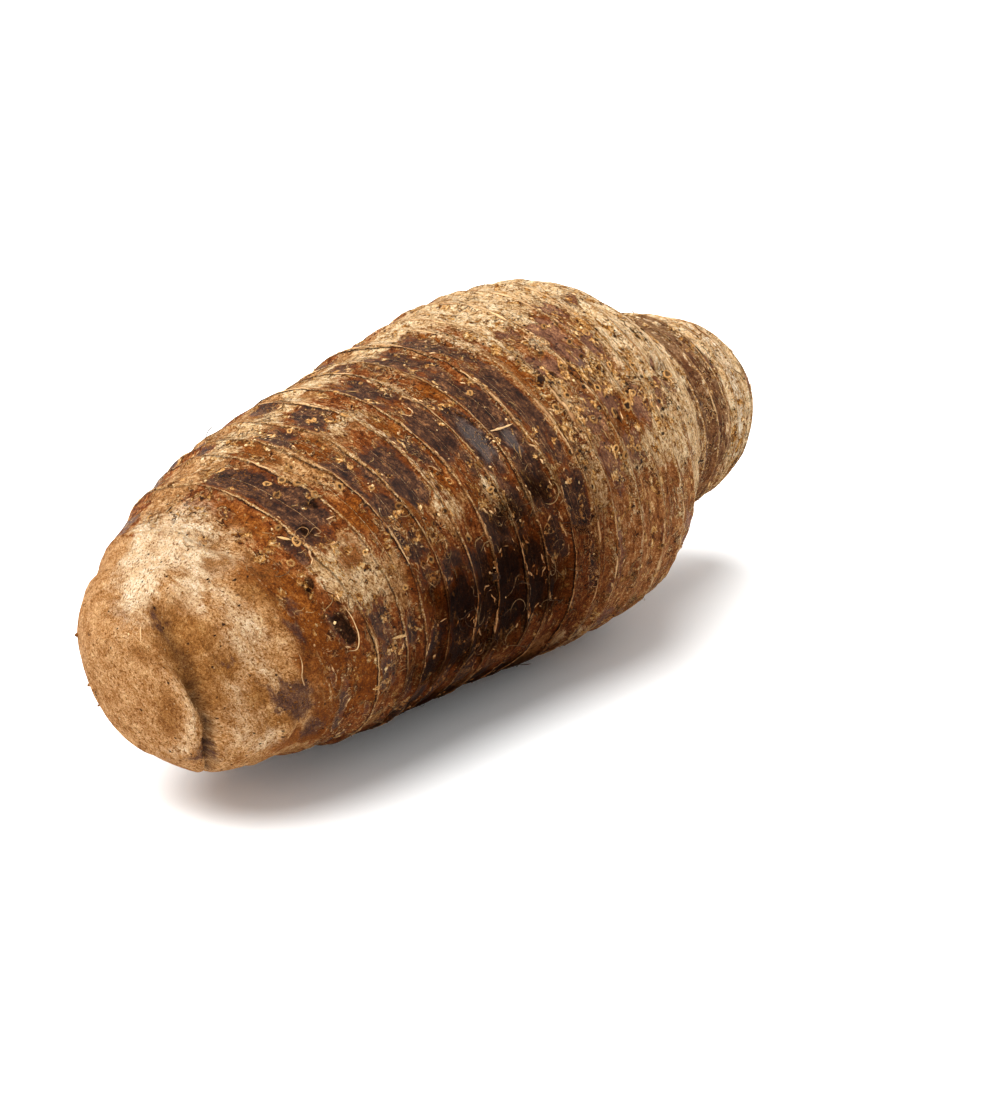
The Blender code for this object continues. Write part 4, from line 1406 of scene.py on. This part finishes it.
def make_root_scars(scars, draw, material):
    """A raised ring of cork round a dark cup, for each root that was shed."""
    places, radii = scars
    centre, along, around, outward = axes_at(places[:, 0], places[:, 1])
    turn = np.linspace(0, 2 * np.pi, RIM_POINTS, endpoint=False)
    count = len(radii)
    each_point = (count, RIM_POINTS)
    phase = draw.uniform(0, 2 * np.pi, (count, 1))
    broken = (draw.random((count, 1)) > NEAT_SHARE) * 1.0
    uneven = RIM_UNEVEN[0] + RIM_UNEVEN[1] * broken
    oval = 1 + RIM_OVAL * np.cos(2 * turn + phase) + uneven * draw.normal(0, 1, each_point)
    rise_and_fall = np.sin(turn + 2 * phase) + draw.normal(0, CREST_STRAY, each_point)
    crest = CREST_HEIGHT + (CREST_UNEVEN[0] + CREST_UNEVEN[1] * broken) * rise_and_fall
    crest = np.clip(crest, CREST_LOWEST * broken, CREST_HIGHEST)
    breadth = 1 + broken * draw.uniform(0.0, BROKEN_BREADTH, each_point)
    across = np.cos(turn)[:, None] * along[:, None] + np.sin(turn)[:, None] * around[:, None]
    floor = np.where(draw.random(count) < DARK_SHARE, DARK_FLOOR, SUNK_FLOOR)
    rows = []
    for beyond, height, on_crest, depth in RIM_PROFILE:
        out = np.maximum(radii[:, None] * oval + beyond * breadth, SMALLEST_CUP * radii[:, None])
        up = height + on_crest * np.sqrt(radii)[:, None] * crest + depth * floor[:, None]
        rows.append(centre[:, None] + MM * (out[..., None] * across + up[..., None] * outward[:, None]))
    cup = np.array(CUP_DARKNESS) * draw.uniform(*CUP_BY_CUP, (count, 1))
    # Painted shade: pieces on the low side are darkened like the skin there
    tone = draw.random(count) * (1.0 - SHADED_BELOW * low_side_shade(places[:, 0], places[:, 1]))
    closed_bodies("root_scars", np.stack(rows, axis=1), material, cup=cup, tone=tone)


def edge_crossings(rows, angles, inside):
    """Where an edge crosses cells of the skin's grid: the reach, and the angle, of its two ends in each."""
    near, far = inside[:-1], inside[1:]
    corners = np.stack([near, far, np.roll(far, -1, axis=1), np.roll(near, -1, axis=1)])
    row, column = np.meshgrid(np.arange(len(rows) - 1), np.arange(len(angles)), indexing="ij")
    reach_at = np.stack([rows[row], rows[row + 1], rows[row + 1], rows[row]])
    angle_at = angles[column] + (angles[1] - angles[0]) * np.array([0, 0, 1, 1])[:, None, None]
    crossed = (corners > 0) != (np.roll(corners, -1, axis=0) > 0)
    with np.errstate(divide="ignore", invalid="ignore"):
        share = np.where(crossed, corners / (corners - np.roll(corners, -1, axis=0)), 0.0)
    two = crossed.sum(axis=0) == 2
    order = np.argsort(~crossed, axis=0, kind="stable")[:2]
    ends = []
    for place in (reach_at, angle_at):
        cut = place + share * (np.roll(place, -1, axis=0) - place)
        ends.append(np.take_along_axis(cut, order, axis=0)[:, two].T)
    return ends


def torn_edges(rows, angles, whole, draw, material):
    """Slivers of lifted skin along the torn edge of the whole skin, kept in clusters."""
    ends_reach, ends_angle = edge_crossings(rows, angles, whole)
    middle_reach, middle_angle = ends_reach.mean(axis=1), ends_angle.mean(axis=1)
    likely = TORN_ANYWHERE + noise("torn_clusters", skin_space(middle_reach, middle_angle))
    chosen = (draw.random(len(likely)) < likely) & (middle_reach > TORN_FROM)
    stretch = draw.uniform(*TORN_STRETCH, chosen.sum())[:, None] * np.linspace(-0.5, 0.5, TORN_POINTS)
    reach = middle_reach[chosen, None] + stretch * np.diff(ends_reach[chosen], axis=1)
    angle = middle_angle[chosen, None] + stretch * np.diff(ends_angle[chosen], axis=1)
    reach += draw.normal(0, TORN_STRAY, reach.shape)
    count = len(reach)
    lift = draw.uniform(*TORN_LIFT, count)[:, None]
    half_width = draw.uniform(*TORN_HALF_WIDTH, count)
    height = draw.uniform(*TORN_HEIGHT, count)
    tone = draw.uniform(*TORN_TONE, count)
    strips("torn_edges", reach, angle, lift, half_width, height, RIDGE_PROFILE, material, tone)


def leaf_scar_lips(draw, material):
    """The raised lip of each leaf scar, as overlapping strips that waver and are missing here and there."""
    reach, angle, half_width, height = [], [], [], []
    share = np.linspace(0.0, 1.0, LIP_POINTS)
    for place, ridge in SCARS[END_SCARS:]:
        radius = float(curve_through(RADIUS, place))
        broad = 1.0 + BROADER_LIPS * bump(place - BROADEST_LIP, BROADER_FOR)
        turn = draw.uniform(0, 2 * np.pi)
        finish = turn + 2 * np.pi
        while turn < finish:
            length = draw.uniform(*LIP_LENGTH) / radius
            here = turn + share * length
            level = np.full(LIP_POINTS, place)
            space = skin_space(level, here)
            presence = noise("presence", space).mean()
            if presence + draw.normal(0, LIP_PATCHY) > LIP_LEVEL - LIP_LEVEL_DROP * ridge:
                stray = draw.normal(0, LIP_STRAY) + draw.normal(0, LIP_SLANT) * (share - 0.5)
                stray = stray + draw.normal(0, LIP_UNEVEN, LIP_POINTS)
                reach.append(level - noise("ring_wander", space) + stray)
                angle.append(here)
                wide = draw.uniform(*LIP_HALF_WIDTH) + LIP_BROAD * draw.random() ** 3
                half_width.append(wide * broad * (WIDTH_BY_RIDGE[0] + WIDTH_BY_RIDGE[1] * ridge))
                high = HEIGHT_BY_RIDGE[0] + HEIGHT_BY_RIDGE[1] * ridge
                height.append(draw.uniform(*LIP_RIDGE) * high)
            turn += length * draw.uniform(*LIP_SPACING)
    tone = draw.uniform(*LIP_TONE, len(reach))
    strips("leaf_scar_lips", np.array(reach), np.array(angle), 0.0, np.array(half_width), np.array(height),
           RIDGE_PROFILE, material, tone)


def seen_threads(material):
    """The single threads of torn skin and the cracks that can be told apart."""
    share = np.linspace(0.0, 1.0, THREAD_POINTS)
    rows = []
    for _, _, _, places in SEEN_THREADS:
        along = np.linspace(0.0, 1.0, len(places))
        reach, turn = np.array(places, dtype=float).T
        turns = curve_through(np.stack([along, turn], axis=-1), share)
        rows.append((curve_through(np.stack([along, reach], axis=-1), share), np.radians(turns)))
    reach, angle = np.array(rows).transpose(1, 0, 2)
    tone, half_width, height = np.array([thread[:3] for thread in SEEN_THREADS]).T
    strips("seen_threads", reach, angle, 0.0, half_width, height, RIDGE_PROFILE, material, tone)


def bark_crumbs(scars, draw, material):
    """Crumbs of dead cork that cling round the root scars and leaf scars."""
    places, radii = scars
    by_root = draw.integers(0, len(radii), CRUMBS)
    away = radii[by_root] * draw.uniform(*CRUMB_AWAY, CRUMBS)
    heading = draw.uniform(0, 2 * np.pi, CRUMBS)
    anywhere_reach, anywhere_angle = scatter(CRUMBS, draw, CRUMBS_SPAN)
    near_root = draw.random(CRUMBS) < CRUMBS_AT_ROOTS
    reach = np.where(near_root, places[by_root, 0] + away * np.cos(heading), anywhere_reach)
    angle = places[by_root, 1] + away * np.sin(heading) / tube_at(reach)
    angle = np.where(near_root, angle, anywhere_angle)
    centre, along, around, outward = axes_at(reach, angle)
    size = LEAST_CRUMB + LARGER_CRUMBS * draw.random(CRUMBS) ** 2
    turned = draw.uniform(0, MOST_CRUMB_TURN, (CRUMBS, 1))
    turn = np.linspace(0, 2 * np.pi, CRUMB_POINTS, endpoint=False) + turned
    across = np.cos(turn)[..., None] * along[:, None] + np.sin(turn)[..., None] * around[:, None]
    rows = []
    for wide, high in CRUMB_PROFILE:
        spread = (size[:, None] * wide * draw.uniform(*CRUMB_BREADTH, turn.shape))[..., None] * across
        up = (size * high * draw.uniform(*CRUMB_HEIGHT, CRUMBS))[:, None, None] * outward[:, None]
        rows.append(centre[:, None] + MM * (spread + up))
    # Painted shade: pieces on the low side are darkened like the skin there
    tone = draw.uniform(*CRUMB_TONE, CRUMBS) * (1.0 - SHADED_BELOW * low_side_shade(reach, angle))
    closed_bodies("bark_crumbs", np.stack(rows, axis=1), material, tone=tone)


def root_hairs(draw, material):
    """Dry root hairs and fibres, mostly lying down, a few standing off."""
    reach, angle = scatter(HAIRS, draw, HAIRS_SPAN)
    heading = draw.uniform(0, 2 * np.pi, HAIRS)
    curl = draw.normal(0, HAIR_CURL, HAIRS)
    length = draw.uniform(*HAIR_LENGTH, HAIRS)
    tangled = np.arange(HAIRS) < TANGLED
    reach = np.where(tangled, draw.uniform(*TANGLE_REACH, HAIRS), reach)
    angle = np.where(tangled, np.radians(draw.uniform(*TANGLE_TURN, HAIRS)), angle)
    curl = np.where(tangled, draw.choice((-1.0, 1.0), HAIRS) * draw.uniform(*TANGLE_CURL, HAIRS), curl)
    length = np.where(tangled, draw.uniform(*TANGLE_LENGTH, HAIRS), length)
    tone = np.where(tangled, draw.uniform(*TANGLE_TONE, HAIRS), draw.uniform(*HAIR_TONE, HAIRS))
    share = np.linspace(0.0, 1.0, HAIR_POINTS)
    wave = np.sin(HAIR_WAVES * share + draw.uniform(0, 2 * np.pi, (HAIRS, 1)))
    turn = heading[:, None] + curl[:, None] * share + draw.uniform(*HAIR_WAVINESS, (HAIRS, 1)) * wave
    radius = tube_at(reach)[:, None]
    step = length[:, None] / (HAIR_POINTS - 1)
    reach = reach[:, None] + np.cumsum(step * np.cos(turn), axis=1)
    angle = angle[:, None] + np.cumsum(step * np.sin(turn), axis=1) / radius
    standing = draw.random(HAIRS) < STANDING_SHARE
    rise = np.where(standing, draw.uniform(*STANDING_RISE, HAIRS), draw.uniform(*LYING_RISE, HAIRS))
    arch = np.sin(share * np.pi * draw.uniform(*SHARE_OF_ARCH, HAIRS)[:, None])
    lift = HAIR_LIFT + rise[:, None] * arch
    thick = draw.uniform(*HAIR_THICKNESS, HAIRS)
    reach = np.clip(reach, *HAIR_LIMITS)
    strips("root_hairs", reach, angle, lift, thick, thick, HAIR_PROFILE, material, tone)


def loose_flakes(draw, material):
    """Chips of dead skin, fast along one end and curling off at the other."""
    reach, angle = scatter(FLAKES, draw, FLAKES_SPAN)
    heading = draw.normal(np.pi / 2, FLAKE_SWING, FLAKES)
    length = draw.uniform(*FLAKE_LENGTH, FLAKES)
    share = np.linspace(0.0, 1.0, FLAKE_POINTS)
    radius = curve_through(RADIUS, reach)
    reach = reach[:, None] + share * (length * np.cos(heading))[:, None]
    angle = angle[:, None] + share * (length * np.sin(heading) / radius)[:, None]
    lift = FLAKE_LIFT + draw.uniform(*FLAKE_CURL, FLAKES)[:, None] * share ** 2
    half_width = draw.uniform(*FLAKE_HALF_WIDTH, FLAKES)
    thickness = draw.uniform(*FLAKE_THICKNESS, FLAKES)
    tone = draw.uniform(*FLAKE_TONE, FLAKES)
    strips("loose_flakes", reach, angle, lift, half_width, thickness, FLAKE_PROFILE, material, tone)


def make_stage():
    """A floor of matt white paper, a soft key light from above and a weak, even sky."""
    bpy.ops.mesh.primitive_plane_add(size=FLOOR_SIZE, location=(0.0, 0.0, -FLOOR_GAP * MM))
    floor = bpy.context.object
    floor.name = "floor"
    material, _, shader = new_material("matt_white_paper")
    shader.inputs["Base Color"].default_value = linear(PAPER_COLOUR)
    shader.inputs["Roughness"].default_value = PAPER_ROUGHNESS
    floor.data.materials.append(material)
    world = bpy.data.worlds.new("studio")
    bpy.context.scene.world = world
    world.use_nodes = True
    sky = world.node_tree.nodes["Background"]
    sky.inputs["Color"].default_value = (1.0, 1.0, 1.0, 1.0)
    sky.inputs["Strength"].default_value = SKY_STRENGTH
    light = bpy.data.lights.new("key", "SUN")
    light.angle = np.radians(KEY_SPREAD)
    light.energy = KEY_STRENGTH
    lamp = bpy.data.objects.new("key", light)
    bpy.context.collection.objects.link(lamp)
    lamp.rotation_euler = Vector(KEY_FROM).to_track_quat("Z", "Y").to_euler()


def make_camera():
    """The camera that the photograph was taken with, as the corm's outline and leaf scars give it."""
    bearing, height = np.radians(CAMERA_BEARING), np.radians(CAMERA_HEIGHT)
    back = Vector((np.sin(bearing) * np.cos(height), -np.cos(bearing) * np.cos(height), np.sin(height)))
    right = Vector((np.cos(bearing), np.sin(bearing), 0.0))
    up = back.cross(right)
    lens = bpy.data.cameras.new("camera")
    lens.sensor_width = SENSOR
    lens.lens = FOCAL_PIXELS / PICTURE_HEIGHT * SENSOR
    lens.clip_start = NEAREST
    camera = bpy.data.objects.new("camera", lens)
    bpy.context.collection.objects.link(camera)
    turned = Matrix((right, up, back)).transposed().to_4x4()
    turned.translation = (Vector(CAMERA_AIM) + back * CAMERA_DISTANCE) * MM
    camera.matrix_world = turned
    bpy.context.scene.camera = camera


bpy.context.scene.view_settings.view_transform = "Standard"
make_camera()
make_stage()
chance = np.random.default_rng(SEED)
shed_roots = root_scars(chance)
skin_rows, skin_angles, inside_whole_skin = make_skin(corky_bark(), shed_roots)
make_root_scars(shed_roots, chance, root_scar_cork())
torn_cork = dry_stuff("torn_cork")
torn_edges(skin_rows, skin_angles, inside_whole_skin, chance, torn_cork)
leaf_scar_lips(chance, torn_cork)
seen_threads(torn_cork)
bark_crumbs(shed_roots, chance, dry_stuff("crumbling_cork"))
root_hairs(chance, dry_stuff("dry_root_hair"))
loose_flakes(chance, dry_stuff("dead_skin_flake"))
